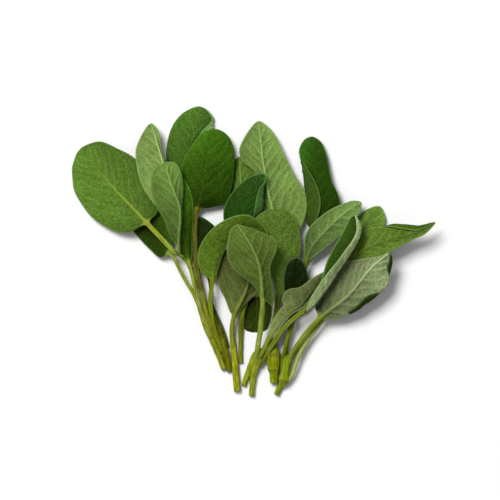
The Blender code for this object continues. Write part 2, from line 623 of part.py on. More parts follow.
def half_section(rib, side, normal, shares, puff):
    """Points of half a cross-section, at shares of the way from the midrib to the margin."""
    shares = shares[:, None]
    if len(side) == 1:
        reach = side[0] - rib
        bulge = puff * np.linalg.norm(reach) * 4 * shares * (1 - shares)
        return rib + reach * shares + bulge * normal
    fold, edge = side
    first, second = np.linalg.norm(fold - rib), np.linalg.norm(edge - fold)
    turn = unit((fold - rib) / max(first, 1e-6) + (edge - fold) / max(second, 1e-6))
    pull = turn * min(first, second) * FOLD_ROUNDNESS
    f = np.clip(shares / FOLD_SHARE, 0, 1)
    g = np.clip((shares - FOLD_SHARE) / (1 - FOLD_SHARE), 0, 1)
    inner = hermite(f, rib, fold, fold - rib, pull)
    outer = hermite(g, fold, edge, pull, edge - fold)
    return np.where(shares <= FOLD_SHARE, inner, outer)


def leaf_places(leaf):
    """Where a leaf's cross-sections lie, counted in points along its rails."""
    foot, end = len(leaf.stalk) - 1, len(leaf.stalk) + len(leaf.rows)
    spread = np.linspace(0, 1, BLADE_ROWS + 1)[1:]
    # The rows crowd together towards the tip, where the margins close in.
    blade = foot + (end - 1 + LAST_ROW - foot) * np.sin(spread * math.pi / 2) ** ROW_CROWDING
    return np.concatenate([np.arange(foot + 1), blade])


def leaf_sheet(leaf, places):
    """The middle surface of a leaf, and how far its two skins stand off it."""
    rails = leaf_rails(leaf, places)
    foot, end = len(leaf.stalk) - 1, len(leaf.stalk) + len(leaf.rows)
    puff = TOP_PUFF if leaf.face == "top" else UNDER_PUFF
    left_sides, right_sides = rails[: leaf.rib][::-1], rails[leaf.rib + 1 :]
    along = unit(np.gradient(rails[leaf.rib], axis=0))
    across = unit(rails[-1] - rails[0])
    normals = unit(np.cross(across, along))
    sheet, up, down = [], [], []
    for i, place in enumerate(places):
        rib = rails[leaf.rib, i]
        into_blade = min(max(place - foot, 0.0), 1.0)
        blend = into_blade * into_blade * (3 - 2 * into_blade)
        along_blade = min(max((place - foot) / (end - foot), 0.0), 1.0)
        rib_size = leaf.stalk_radius * (1 - (1 - RIB_AT_TIP) * along_blade)
        parts, tops, bottoms = [], [], []
        for sides in (left_sides[:, i], right_sides[:, i]):
            count = COLUMNS_PER_SIDE if len(sides) == 1 else COLUMNS_PER_FOLD
            steps = np.arange(count + 1) / count
            length = max(np.linalg.norm(sides[0] - rib), 1e-6)
            near = min(RIB_FOOT * rib_size / length, 0.8 / count)
            flat = np.concatenate([[0.0], near + (1 - near) * np.arange(count) / (count - 1)])
            round_ = np.sin(steps * math.pi / 2)
            shares = round_ * (1 - blend) + flat * blend
            points = half_section(rib, sides, normals[i], shares, puff * blend)
            tube = leaf.stalk_radius * np.sqrt(np.maximum(1 - round_**2, 0))
            skin = np.full(count + 1, min(BLADE_THICKNESS / 2, 0.3 * length))
            skin[-1] = 0
            ridge = np.zeros(count + 1)
            ridge[0] = min(RIB_HEIGHT * rib_size, 0.5 * length)
            rib_side = tube * (1 - blend) + (skin + ridge) * blend
            plain_side = STALK_FLATNESS * tube * (1 - blend) + skin * blend
            parts.append(points)
            tops.append(plain_side if leaf.face == "top" else rib_side)
            bottoms.append(rib_side if leaf.face == "top" else plain_side)
        sheet.append(np.vstack([parts[0][:0:-1], parts[1]]))
        up.append(np.concatenate([tops[0][:0:-1], tops[1]]))
        down.append(np.concatenate([bottoms[0][:0:-1], bottoms[1]]))
    return np.array(sheet), np.array(up), np.array(down)


def leaf_object(leaf, collection):
    """Lofts a leaf as one closed solid: a stalk that widens into a thin, ribbed blade."""
    places = leaf_places(leaf)
    sheet, up, down = leaf_sheet(leaf, places)
    normals = unit(np.cross(np.gradient(sheet, axis=1), np.gradient(sheet, axis=0)))
    tops = sheet + normals * up[..., None]
    bottoms = sheet - normals * down[..., None]
    mesh = bmesh.new()
    rings = []
    for top, bottom in zip(tops, bottoms):
        ring = [mesh.verts.new(p * MM) for p in top]
        ring += [mesh.verts.new(p * MM) for p in bottom[-2:0:-1]]
        rings.append(ring)
    for ring, following in zip(rings, rings[1:]):
        for k in range(len(ring)):
            m = (k + 1) % len(ring)
            mesh.faces.new((ring[k], ring[m], following[m], following[k]))
    start = mesh.verts.new(np.asarray(leaf.stalk[0]) * MM)
    tip = mesh.verts.new(np.asarray(leaf.tip) * MM)
    for k in range(len(rings[0])):
        m = (k + 1) % len(rings[0])
        mesh.faces.new((rings[0][m], rings[0][k], start))
        mesh.faces.new((rings[-1][k], rings[-1][m], tip))
    bmesh.ops.triangulate(mesh, faces=mesh.faces)
    bmesh.ops.recalc_face_normals(mesh, faces=mesh.faces)
    data = bpy.data.meshes.new(leaf.name)
    mesh.to_mesh(data)
    mesh.free()
    data.shade_smooth()
    colour = TOP_GREEN if leaf.face == "top" else UNDER_GREEN
    data.materials.append(plant_material(leaf.name + "_skin", colour, 0.7))
    collection.objects.link(bpy.data.objects.new(leaf.name, data))


def stem_profile(collection):
    """The outline that a stem is swept from: a square with its corners cut off."""
    corners = []
    for turn in range(4):
        angle = turn * math.pi / 2
        for side in (-STEM_CORNER, STEM_CORNER):
            x = math.cos(angle) - side * math.sin(angle)
            y = math.sin(angle) + side * math.cos(angle)
            corners.append((x, y))
    curve = bpy.data.curves.new("stem_profile", "CURVE")
    spline = curve.splines.new("POLY")
    spline.points.add(len(corners) - 1)
    for point, (x, y) in zip(spline.points, reversed(corners)):
        point.co = (x * MM, y * MM, 0, 1)
    spline.use_cyclic_u = True
    profile = bpy.data.objects.new("stem_profile", curve)
    profile.hide_render = True
    profile.display_type = "WIRE"
    collection.objects.link(profile)
    return profile


def stem_object(stem, profile, collection):
    """Sweeps the four-sided profile along a stem, one flat side down."""
    route = np.asarray(stem.route, float)
    places = np.arange(0, len(route) - 0.99, 0.5)
    before, after = 2 * route[0] - route[1], 2 * route[-1] - route[-2]
    points = smooth_rail(route, before, after, places)
    curve = bpy.data.curves.new(stem.name, "CURVE")
    curve.dimensions = "3D"
    curve.twist_mode = "Z_UP"
    curve.bevel_mode = "OBJECT"
    curve.bevel_object = profile
    curve.use_fill_caps = True
    spline = curve.splines.new("POLY")
    spline.points.add(len(points) - 1)
    for place, (x, y, z, half_width) in zip(spline.points, points):
        place.co = (x * MM, y * MM, z * MM, 1)
        place.radius = half_width
    curve.materials.append(plant_material(stem.name + "_skin", STEM_GREEN, 0.5))
    collection.objects.link(bpy.data.objects.new(stem.name, curve))


def plant_material(name, colour, roughness):
    """A plain Principled material for one sub-part."""
    material = bpy.data.materials.new(name)
    material.use_nodes = True
    shader = material.node_tree.nodes["Principled BSDF"]
    shader.inputs["Base Color"].default_value = (*colour, 1)
    shader.inputs["Roughness"].default_value = roughness
    shader.inputs["Metallic"].default_value = 0
    return material


def new_collection(name):
    """A collection in the scene."""
    collection = bpy.data.collections.new(name)
    bpy.context.scene.collection.children.link(collection)
    return collection


def main():
    """Builds the whole bunch."""
    for item in list(bpy.data.objects):
        bpy.data.objects.remove(item, do_unlink=True)
    bunch = new_collection("sage_bunch")
    profile = stem_profile(new_collection("guides"))
    for stem in STEMS:
        stem_object(stem, profile, bunch)
    for leaf in LEAVES:
        leaf_object(leaf, bunch)


main()
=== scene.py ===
"""Looks of a cut bunch of common sage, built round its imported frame.

Lengths are millimetres unless a name says otherwise. +Z is up, the surface is z = 0,
the leaves point to +Y and the cut ends to -Y.
"""

import logging
import math
from dataclasses import dataclass
from enum import Enum

import bpy
import numpy as np
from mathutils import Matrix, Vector


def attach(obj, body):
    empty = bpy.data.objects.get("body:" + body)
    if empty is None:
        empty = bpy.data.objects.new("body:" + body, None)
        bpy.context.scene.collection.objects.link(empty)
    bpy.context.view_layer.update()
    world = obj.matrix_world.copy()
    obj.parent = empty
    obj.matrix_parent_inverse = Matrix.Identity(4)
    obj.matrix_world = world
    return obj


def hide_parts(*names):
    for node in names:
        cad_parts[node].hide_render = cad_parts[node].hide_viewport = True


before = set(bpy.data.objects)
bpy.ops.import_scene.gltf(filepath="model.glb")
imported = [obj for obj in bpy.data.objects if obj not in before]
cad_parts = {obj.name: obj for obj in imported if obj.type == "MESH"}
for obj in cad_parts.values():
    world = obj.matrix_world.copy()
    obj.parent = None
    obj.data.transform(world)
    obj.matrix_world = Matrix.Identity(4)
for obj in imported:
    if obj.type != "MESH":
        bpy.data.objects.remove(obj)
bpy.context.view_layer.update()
MM = 0.001
RESTING = 0.01  # the lowest that anything lies above the surface, in millimetres
SLAB = 0.2  # thickness of the flat slab that a leaf is drawn out of
LEAF_SHIFT = 40.0  # how far the pattern moves on from leaf to leaf, in millimetres
STEM_SHIFT = 90  # how far the pattern moves on from stem to stem, in millimetres
RIPPLE_SEED, WANDER_SEED = 100, 300  # added to a leaf's seed for its ripples and its veins
LONG_SWELL_SEED, SHORT_SWELL_SEED = 50, 60  # added to a stem's seed for its swells
RIPPLE_WAVES = 5  # waves that make up one pattern of ripples
PEBBLE_TABLE = 64  # cells along each side of a table of pebbles, after which it repeats

Colour = tuple[float, float, float]
Point = tuple[float, ...]
Points = tuple[Point, ...]
Socket = bpy.types.NodeSocket
Value = float | Colour | Socket

log = logging.getLogger("sage_bunch")

GLOSS_TINT = (0.85, 1.0, 0.15, 1.0)
DOWN_TINT = (0.85, 1.0, 0.6, 1.0)
DOWN_ROUGHNESS = 0.45
SHEATH_BROWN: Colour = (0.085, 0.078, 0.008)
RING_BROWN: Colour = (0.085, 0.060, 0.016)
CUT_BROWN: Colour = (0.190, 0.125, 0.045)
DOWN_PALE: Colour = (0.068, 0.112, 0.040)


class Side(Enum):
    """The side of a leaf that looks up."""

    UPPER = "upper"
    UNDER = "under"


@dataclass(frozen=True)
class Palette:
    """Linear colours of one leaf's two sides.

    Args:
        upper: the green of the upper side.
        under: the paler green of the underside.
    """

    upper: Colour
    under: Colour


@dataclass(frozen=True)
class Relief:
    """Sizes of the veins, pebbling and ripples of a blade, in millimetres.

    Args:
        vein_spacing: distance between side veins along the midrib.
        vein_slant: how far a side vein runs forward for each millimetre outward.
        vein_curve: the extra forward run for each square millimetre outward.
        vein_stagger: how far the right veins stand on from the left ones, in spacings.
        vein_wander: how far the veins stray from their even spacing, in spacings.
        wander_length: length of the waves in which they stray.
        vein_ends: distances from the margin between which a side vein dies out.
        vein_start: distance from the blade's foot over which the side veins set in.
        vein_thinning: how much weaker a side vein is at the margin, as a share.
        vein_width: half-width of a side vein.
        vein_depth: depth of the groove over a side vein on the upper side.
        ridge: height of a side vein on the underside.
        quilting: height of the blade's bulge between side veins.
        pebble_size: width of one pebble between the finest veins.
        pebble_height: height of a pebble.
        ripple: height of the blade's slow ripples at the margin.
        ripple_length: length of those ripples.
        ripple_band: distances from the midrib between which the ripples set in.
        tooth_length: length of one tooth of the margin.
        tooth_height: height of one tooth.
        tooth_reach: how far into the blade the teeth draw it out.
    """

    vein_spacing: float = 5.2
    vein_slant: float = 1.0
    vein_curve: float = 0.02
    vein_stagger: float = 0.5
    vein_wander: float = 0.13
    wander_length: float = 9.0
    vein_ends: tuple[float, float] = (0.6, 3.2)
    vein_start: float = 2.5
    vein_thinning: float = 0.3
    vein_width: float = 0.34
    vein_depth: float = 0.12
    ridge: float = 0.17
    quilting: float = 0.13
    pebble_size: float = 1.7
    pebble_height: float = 0.10
    ripple: float = 0.28
    ripple_length: float = 13.0
    ripple_band: tuple[float, float] = (1, 7)
    tooth_length: float = 1.6
    tooth_height: float = 0.13
    tooth_reach: float = 0.6


RELIEF = Relief()


def hermite(
    f: np.ndarray,
    start: np.ndarray,
    end: np.ndarray,
    pull_start: np.ndarray,
    pull_end: np.ndarray,
) -> np.ndarray:
    """A cubic between two points that leaves and arrives along the given pulls.

    Args:
        f: shares of the way, 0 to 1.
        start: the first point.
        end: the last point.
        pull_start: the tangent at the first point.
        pull_end: the tangent at the last point.

    Returns:
        The points at those shares.
    """
    return (
        (2 * f**3 - 3 * f**2 + 1) * start
        + (f**3 - 2 * f**2 + f) * pull_start
        + (3 * f**2 - 2 * f**3) * end
        + (f**3 - f**2) * pull_end
    )


def smooth_rail(
    points: np.ndarray, before: np.ndarray, after: np.ndarray, places: np.ndarray
) -> np.ndarray:
    """Reads a smooth curve through points.

    Args:
        points: the points, one a row.
        before: a point ahead of the first one, which sets the first tangent.
        after: a point past the last one, which sets the last tangent.
        places: where to read the curve, counted in points.

    Returns:
        One point for each place.
    """
    path = np.vstack([before, points, after])
    steps = np.maximum(np.linalg.norm(np.diff(path, axis=0), axis=1), 1e-6) ** 0.5
    slopes = np.diff(path, axis=0) / steps[:, None]
    share = steps[1:] / (steps[1:] + steps[:-1])
    tangents = slopes[:-1] * share[:, None] + slopes[1:] * (1 - share[:, None])
    index = np.clip(np.floor(places).astype(int), 0, len(points) - 2)
    f = (places - index)[:, None]
    step = steps[1:-1][index][:, None]
    return hermite(
        f, points[index], points[index + 1], tangents[index] * step, tangents[index + 1] * step
    )


def unit(vectors: np.ndarray) -> np.ndarray:
    """Scales vectors to length one."""
    return vectors / np.maximum(np.linalg.norm(vectors, axis=-1, keepdims=True), 1e-9)


def smoothstep(x: np.ndarray, low: float, high: float) -> np.ndarray:
    """Eases from 0 at low to 1 at high."""
    t = np.clip((x - low) / (high - low), 0, 1)
    return t * t * (3 - 2 * t)


def path_length(points: np.ndarray) -> np.ndarray:
    """Distance along a path from its first point to each point."""
    return np.concatenate([[0.0], np.cumsum(np.linalg.norm(np.diff(points, axis=0), axis=1))])


def calm(rows: np.ndarray, spread: int = 3) -> np.ndarray:
    """Evens out small kinks along the first axis, with both ends kept."""
    weights = np.exp(-0.5 * (np.arange(-spread, spread + 1) / (spread / 2)) ** 2)
    weights /= weights.sum()
    head = 2 * rows[:1] - rows[spread:0:-1]
    tail = 2 * rows[-1:] - rows[-2 : -2 - spread : -1]
    padded = np.concatenate([head, rows, tail])
    return sum(w * padded[i : i + len(rows)] for i, w in enumerate(weights))


def pebbles(across: np.ndarray, along: np.ndarray, size: float, seed: int) -> np.ndarray:
    """A field of rounded cells: 1 in the middle of a cell and 0 on the lines between cells.

    Args:
        across: first coordinate of each place.
        along: second coordinate of each place.
        size: width of a cell.
        seed: picks the pattern.

    Returns:
        The field at each place.
    """
    table = np.random.default_rng(seed).random((PEBBLE_TABLE, PEBBLE_TABLE, 2))
    x, y = across / size, along / size
    cell_x, cell_y = np.floor(x).astype(int), np.floor(y).astype(int)
    nearest, second = np.full(x.shape, np.inf), np.full(x.shape, np.inf)
    for i in (-1, 0, 1):
        for j in (-1, 0, 1):
            spot = table[(cell_x + i) % PEBBLE_TABLE, (cell_y + j) % PEBBLE_TABLE]
            away = np.hypot(cell_x + i + spot[..., 0] - x, cell_y + j + spot[..., 1] - y)
            second = np.minimum(np.maximum(away, nearest), second)
            nearest = np.minimum(away, nearest)
    return smoothstep(second - nearest, 0.0, 0.5)


def ripples(across: np.ndarray, along: np.ndarray, length: float, seed: int) -> np.ndarray:
    """Slow waves in random directions, between about -1 and 1."""
    draw = np.random.default_rng(seed)
    total = np.zeros(across.shape)
    for _ in range(RIPPLE_WAVES):
        turn, shift = draw.uniform(0, math.tau, 2)
        pitch = math.tau / (length * draw.uniform(0.7, 1.5))
        total += np.sin(pitch * (across * math.cos(turn) + along * math.sin(turn)) + shift)
    return total / (RIPPLE_WAVES / 2)


def new_piece(name: str) -> bpy.types.Object:
    """Names the object that an operator has just added, and its mesh."""
    piece = bpy.context.object
    piece.name = name
    piece.data.name = name
    return piece


def deselect() -> None:
    """Leaves nothing selected."""
    bpy.ops.object.select_all(action="DESELECT")


def face_outward() -> None:
    """Turns the faces of the active piece outward and shades them smooth."""
    bpy.ops.object.mode_set(mode="EDIT")
    bpy.ops.mesh.select_all(action="SELECT")
    bpy.ops.mesh.normals_make_consistent(inside=False)
    bpy.ops.object.mode_set(mode="OBJECT")
    bpy.ops.object.shade_smooth()


def vertex_places(mesh: bpy.types.Mesh) -> np.ndarray:
    """The coordinates of a mesh's vertices, one a row."""
    flat = np.empty(len(mesh.vertices) * 3, np.float32)
    mesh.vertices.foreach_get("co", flat)
    return flat.reshape(-1, 3).astype(float)


def put_vertices(mesh: bpy.types.Mesh, places: np.ndarray) -> None:
    """Moves a mesh's vertices to places in millimetres, and none below the surface."""
    places = np.maximum(places, (-np.inf, -np.inf, RESTING))
    mesh.vertices.foreach_set("co", (places * MM).astype(np.float32).ravel())
    mesh.update()


def put_field(mesh: bpy.types.Mesh, name: str, values: np.ndarray) -> None:
    """Stores a number or a vector for each vertex, for the finish to read."""
    kind, key = ("FLOAT", "value") if values.ndim == 1 else ("FLOAT_VECTOR", "vector")
    layer = mesh.attributes.new(name, kind, "POINT")
    layer.data.foreach_set(key, values.astype(np.float32).ravel())


class Graph:
    """Wires the nodes of one material."""

    def __init__(self, name: str) -> None:
        """Starts a material with a Principled shader."""
        self.material = bpy.data.materials.new(name)
        self.material.use_nodes = True
        self.tree = self.material.node_tree
        self.shader = self.tree.nodes["Principled BSDF"]

    def add(self, kind: str, inputs: dict | None = None, **settings) -> bpy.types.Node:
        """Adds a node.

        Args:
            kind: the node's type name.
            inputs: a value or an output socket for each input, by name or number.
            settings: the node's own settings.

        Returns:
            The node.
        """
        node = self.tree.nodes.new(kind)
        for key, value in settings.items():
            setattr(node, key, value)
        for key, value in (inputs or {}).items():
            self.feed(node.inputs[key], value)
        return node

    def feed(self, socket: Socket, value: Value) -> None:
        """Links an output to a socket, or sets the socket's value."""
        if isinstance(value, Socket):
            self.tree.links.new(value, socket)
        else:
            socket.default_value = value

    def field(self, name: str, output: str = "Fac") -> Socket:
        """Reads a number, or with output "Vector" a vector, stored in the mesh."""
        return self.add("ShaderNodeAttribute", attribute_name=name).outputs[output]

    def mix(self, share: Value, first: Value, second: Value) -> Socket:
        """Mixes two colours; share 0 gives the first one."""
        node = self.add("ShaderNodeMix", data_type="RGBA", clamp_factor=True)
        self.feed(node.inputs[0], share)
        for socket, value in ((node.inputs[6], first), (node.inputs[7], second)):
            self.feed(socket, (*value, 1.0) if isinstance(value, tuple) and len(value) == 3 else value)
        return node.outputs[2]

    def span(
        self, value: Value, low: float, high: float, to_low: float = 0, to_high: float = 1
    ) -> Socket:
        """Maps a range of values to another, held at both ends."""
        node = self.add(
            "ShaderNodeMapRange",
            {"From Min": low, "From Max": high, "To Min": to_low, "To Max": to_high},
            interpolation_type="SMOOTHSTEP",
        )
        self.feed(node.inputs["Value"], value)
        return node.outputs["Result"]

    def combine(self, operation: str, first: Value, second: Value) -> Socket:
        """Combines two numbers by a named operation."""
        node = self.add("ShaderNodeMath", operation=operation)
        self.feed(node.inputs[0], first)
        self.feed(node.inputs[1], second)
        return node.outputs[0]

    def plus(self, first: Value, second: Value) -> Socket:
        """Adds two numbers."""
        return self.combine("ADD", first, second)

    def times(self, first: Value, second: Value) -> Socket:
        """Multiplies two numbers."""
        return self.combine("MULTIPLY", first, second)

    def noise(
        self, where: Socket, scale: float, detail: float = 2, roughness: float = 0.5
    ) -> Socket:
        """Soft noise between 0 and 1."""
        inputs = {"Vector": where, "Scale": scale, "Detail": detail, "Roughness": roughness}
        return self.add("ShaderNodeTexNoise", inputs).outputs[0]

    def net(self, where: Socket, scale: float) -> Socket:
        """Distance to the nearest line of a net of cells."""
        inputs = {"Vector": where, "Scale": scale}
        return self.add("ShaderNodeTexVoronoi", inputs, feature="DISTANCE_TO_EDGE").outputs["Distance"]

    def stretched(self, where: Socket, scale: Point) -> Socket:
        """Scales the places at which a pattern is read: an axis of small scale draws it out."""
        return self.add("ShaderNodeMapping", {"Vector": where, "Scale": scale}).outputs[0]

    def lit(self, colour: Socket) -> Socket:
        """Paints light and shade into a colour, by the mesh's own field of painted shading."""
        gain = self.plus(self.field("painted_shading"), 1.0)
        node = self.add("ShaderNodeHueSaturation", {"Value": gain})
        self.feed(node.inputs["Color"], colour)
        return node.outputs[0]

    def striped(self, where: Socket, green: Colour) -> Socket:
        """The colour of a stalk, with fine lines along it."""
        pale_line, dark_line = tinted(green, 1.6, 0.12), tinted(green, 0.5)
        lines = self.noise(self.stretched(where, (1.0, 0.08, 1.0)), 1.6, 3, 0.6)
        colour = self.mix(self.span(lines, 0.5, 0.68, 0.0, 0.7), green, pale_line)
        return self.mix(self.span(lines, 0.5, 0.3, 0.0, 0.7), colour, dark_line)

    def bump(self, height: Socket, strength: float, distance: float) -> None:
        """Feeds a height to the shader's normal; distance is in millimetres."""
        node = self.add("ShaderNodeBump", {"Strength": strength, "Distance": distance * MM})
        self.feed(node.inputs["Height"], height)
        self.feed(self.shader.inputs["Normal"], node.outputs[0])

    def skin(
        self, colour: Socket, roughness: Socket, sheen: float, specular: float
    ) -> bpy.types.Material:
        """Sets the shader's colour, gloss and downy sheen.

        Args:
            colour: the base colour's socket.
            roughness: the roughness's socket.
            sheen: weight of the sheen that fine hairs give.
            specular: level of the gloss.

        Returns:
            The finished material.
        """
        self.feed(self.shader.inputs["Base Color"], colour)
        self.feed(self.shader.inputs["Roughness"], roughness)
        self.shader.inputs["Specular IOR Level"].default_value = specular
        self.shader.inputs["Specular Tint"].default_value = GLOSS_TINT
        self.shader.inputs["Sheen Weight"].default_value = sheen
        self.shader.inputs["Sheen Roughness"].default_value = DOWN_ROUGHNESS
        self.shader.inputs["Sheen Tint"].default_value = DOWN_TINT
        return self.material


def margin_colour(green: Colour) -> Colour:
    """The pale colour of a downy margin round a blade of the given green."""
    return tuple(1.2 * c + pale for c, pale in zip(green, DOWN_PALE))


def tinted(colour: Colour, gain: float, grey: float = 0.0) -> Colour:
    """A colour made lighter or darker by gain, and drawn towards its own grey."""
    level = sum(colour) / 3
    return tuple((c * (1 - grey) + level * grey) * gain for c in colour)


@dataclass(frozen=True)
class UpperFinish:
    """The upper side of a leaf: pebbled green with painted shade in its creases, and a pale rim.

    Args:
        green: the blade's colour.
        stalk: the colour of the stalk and of the foot of the midrib.
        midrib: how clearly the midrib shows, 0 to 1.
        rim: how clearly the pale downy margin shows, 0 to 1.
        vein: how clearly the side veins show, 0 to 1.
        patches_per_mm: slow patches of lighter and darker green.
        pebbles_per_mm: cells between the fine veins.
        grains_per_mm: the smallest cells.
        flecks_per_mm: specks of light and dark.
        hairs_per_mm: the down's unevenness.
    """

    green: Colour
    stalk: Colour
    midrib: float
    rim: float
    vein: float = 0.45
    patches_per_mm: float = 0.13
    pebbles_per_mm: float = 0.8
    grains_per_mm: float = 2.0
    flecks_per_mm: float = 0.8
    hairs_per_mm: float = 6.0

    def material(self, name: str) -> bpy.types.Material:
        """Wires the finish."""
        g = Graph(name)
        where = g.field("flat", "Vector")
        patches = g.noise(where, self.patches_per_mm, 3)
        pebble = g.net(where, self.pebbles_per_mm)
        grain = g.net(where, self.grains_per_mm)
        fleck = g.noise(where, self.flecks_per_mm, 4, 0.8)
        shaded, sunlit = tinted(self.green, 0.84), tinted(self.green, 1.2)
        crease_shade, pit_shade_and_dark_fleck = tinted(self.green, 0.45), tinted(self.green, 0.5)
        pale_fleck, pale_vein = tinted(self.green, 1.8, 0.1), tinted(self.green, 1.5, 0.15)
        colour = g.mix(g.span(patches, 0.3, 0.7), shaded, sunlit)
        # Painted shade: the creases between pebbles and grains are darker; the last dark flecks are
        # random.
        colour = g.mix(g.span(pebble, 0.0, 0.25, 0.6, 0.0), colour, crease_shade)
        colour = g.mix(g.span(grain, 0.0, 0.22, 0.45, 0.0), colour, pit_shade_and_dark_fleck)
        colour = g.mix(g.span(fleck, 0.48, 0.7, 0.0, 0.55), colour, pale_fleck)
        colour = g.mix(g.span(fleck, 0.5, 0.3, 0.0, 0.6), colour, pit_shade_and_dark_fleck)
        colour = g.mix(g.times(g.field("vein"), self.vein), colour, pale_vein)
        rib = g.times(g.field("rib"), self.midrib)
        # Paints the blade's light and shade over its colours.
        colour = g.lit(g.mix(rib, colour, tinted(self.stalk, 1.25)))
        colour = g.mix(g.times(g.field("rim"), self.rim), colour, margin_colour(self.green))
        colour = g.mix(g.field("stalk"), colour, g.striped(where, self.stalk))
        colour = g.mix(g.field("sheath"), colour, g.striped(where, SHEATH_BROWN))
        down = g.noise(where, self.hairs_per_mm, 2)
        height = g.plus(g.span(pebble, 0.0, 0.3), g.times(g.span(grain, 0, 0.3), 0.35))
        g.bump(g.plus(height, g.times(down, 0.3)), 0.7, 0.2)
        return g.skin(colour, g.span(patches, 0.2, 0.8, 0.5, 0.64), sheen=0.0, specular=0.12)


@dataclass(frozen=True)
class UnderFinish:
    """The underside of a leaf: pale and downy, a raised net of lighter veins, painted shade in the
    hollows.

    Args:
        green: the blade's colour.
        stalk: the colour of the stalk and of the foot of the midrib.
        midrib: how clearly the midrib shows, 0 to 1.
        net: how clearly the net of fine veins shows, 0 to 1.
        rim: how clearly the pale downy margin shows, 0 to 1.
        patches_per_mm: slow patches of lighter and darker green.
        meshes_per_mm: cells of the net of veins.
        grains_per_mm: the smallest cells.
        flecks_per_mm: specks of light and dark.
        hairs_per_mm: the down's unevenness.
    """

    green: Colour
    stalk: Colour
    midrib: float
    net: float
    rim: float
    patches_per_mm: float = 0.16
    meshes_per_mm: float = 0.45
    grains_per_mm: float = 1.2
    flecks_per_mm: float = 1.1
    hairs_per_mm: float = 5.0

    def material(self, name: str) -> bpy.types.Material:
        """Wires the finish."""
        g = Graph(name)
        where = g.field("flat", "Vector")
        patches = g.noise(where, self.patches_per_mm, 3)
        mesh = g.net(where, self.meshes_per_mm)
        grain = g.net(where, self.grains_per_mm)
        fleck = g.noise(where, self.flecks_per_mm, 3, 0.7)
        light, paler = tinted(self.green, 2.05, 0.15), tinted(self.green, 1.75, 0.1)
        shaded, sunlit = tinted(self.green, 0.82), tinted(self.green, 1.18)
        hollow, dark_fleck = tinted(self.green, 0.7), tinted(self.green, 0.55)
        vein = 0.3 + 0.6 * self.net
        colour = g.mix(g.span(patches, 0.3, 0.7), shaded, sunlit)
        # Painted shade: darker green in the hollows between the fine raised veins.
        colour = g.mix(g.span(grain, 0.05, 0.4, 0.0, 0.3), colour, hollow)
        colour = g.mix(g.span(fleck, 0.48, 0.32, 0.0, 0.65), colour, dark_fleck)
        colour = g.mix(g.span(fleck, 0.5, 0.7, 0.0, 0.5), colour, light)
        colour = g.mix(g.span(mesh, 0.0, 0.12, self.net, 0.0), colour, paler)
        colour = g.mix(g.span(grain, 0.0, 0.14, 0.5 * self.net, 0.0), colour, paler)
        colour = g.mix(g.times(g.field("vein"), vein), colour, tinted(light, 1.1))
        rib = g.times(g.field("rib"), self.midrib)
        # Paints the blade's light and shade over its colours.
        colour = g.lit(g.mix(rib, colour, tinted(light, 1.35)))
        colour = g.mix(g.times(g.field("rim"), self.rim), colour, margin_colour(self.green))
        colour = g.mix(g.field("stalk"), colour, g.striped(where, self.stalk))
        down = g.noise(where, self.hairs_per_mm, 2)
        height = g.plus(g.span(mesh, 0, 0.2, 1, 0), g.times(g.span(grain, 0, 0.2, 1, 0), 0.6))
        g.bump(g.plus(height, g.times(down, 0.4)), 0.6, 0.16)
        return g.skin(colour, g.span(down, 0.2, 0.8, 0.62, 0.8), sheen=0.03, specular=0.12)


@dataclass(frozen=True)
class StemFinish:
    """A stem's skin: striped yellow-green, brown at the rings and in the middle of the cut.

    Args:
        green: the skin's colour.
        stripes_per_mm: lines along the stem, counted across it; the pale ones are partly painted
            highlights.
        patches_per_mm: slow patches of lighter and darker green.
        hairs_per_mm: the down's unevenness.
    """

    green: Colour
    stripes_per_mm: float = 1.9
    patches_per_mm: float = 0.16
    hairs_per_mm: float = 5.0

    def material(self, name: str) -> bpy.types.Material:
        """Wires the finish."""
        g = Graph(name)
        where = g.field("straight", "Vector")
        stripes = g.noise(g.stretched(where, (1.0, 1.0, 0.09)), self.stripes_per_mm, 4, 0.6)
        patches = g.noise(where, self.patches_per_mm, 3)
        shaded, sunlit = tinted(self.green, 0.82), tinted(self.green, 1.15)
        stripe_and_painted_highlight, dark_stripe = tinted(self.green, 1.85, 0.06), tinted(self.green, 0.45)
        colour = g.mix(g.span(patches, 0.3, 0.7), shaded, sunlit)
        # The pale stripes are partly painted highlights along the stem.
        colour = g.mix(g.span(stripes, 0.48, 0.64, 0.0, 0.9), colour, stripe_and_painted_highlight)
        colour = g.mix(g.span(stripes, 0.5, 0.3, 0.0, 0.8), colour, dark_stripe)
        colour = g.mix(g.field("ring"), colour, RING_BROWN)
        colour = g.mix(g.field("cut"), colour, CUT_BROWN)
        down = g.noise(where, self.hairs_per_mm, 2)
        g.bump(g.plus(stripes, g.times(down, 0.35)), 0.5, 0.14)
        return g.skin(colour, g.span(stripes, 0.3, 0.7, 0.45, 0.62), sheen=0.0, specular=0.2)


@dataclass(frozen=True)
class FloorFinish:
    """A plain pale surface with the faintest unevenness.

    Args:
        white: its colour.
        clouds_per_m: the unevenness, counted in metres.
    """

    white: Colour = (0.715, 0.715, 0.715)
    clouds_per_m: float = 9.0

    def material(self, name: str) -> bpy.types.Material:
        """Wires the finish."""
        g = Graph(name)
        where = g.add("ShaderNodeTexCoord").outputs["Object"]
        cloud = g.noise(where, self.clouds_per_m, 2)
        colour = g.mix(cloud, self.white, tinted(self.white, 0.99))
        return g.skin(colour, g.span(cloud, 0, 1, 0.8, 0.9), sheen=0.0, specular=0.1)


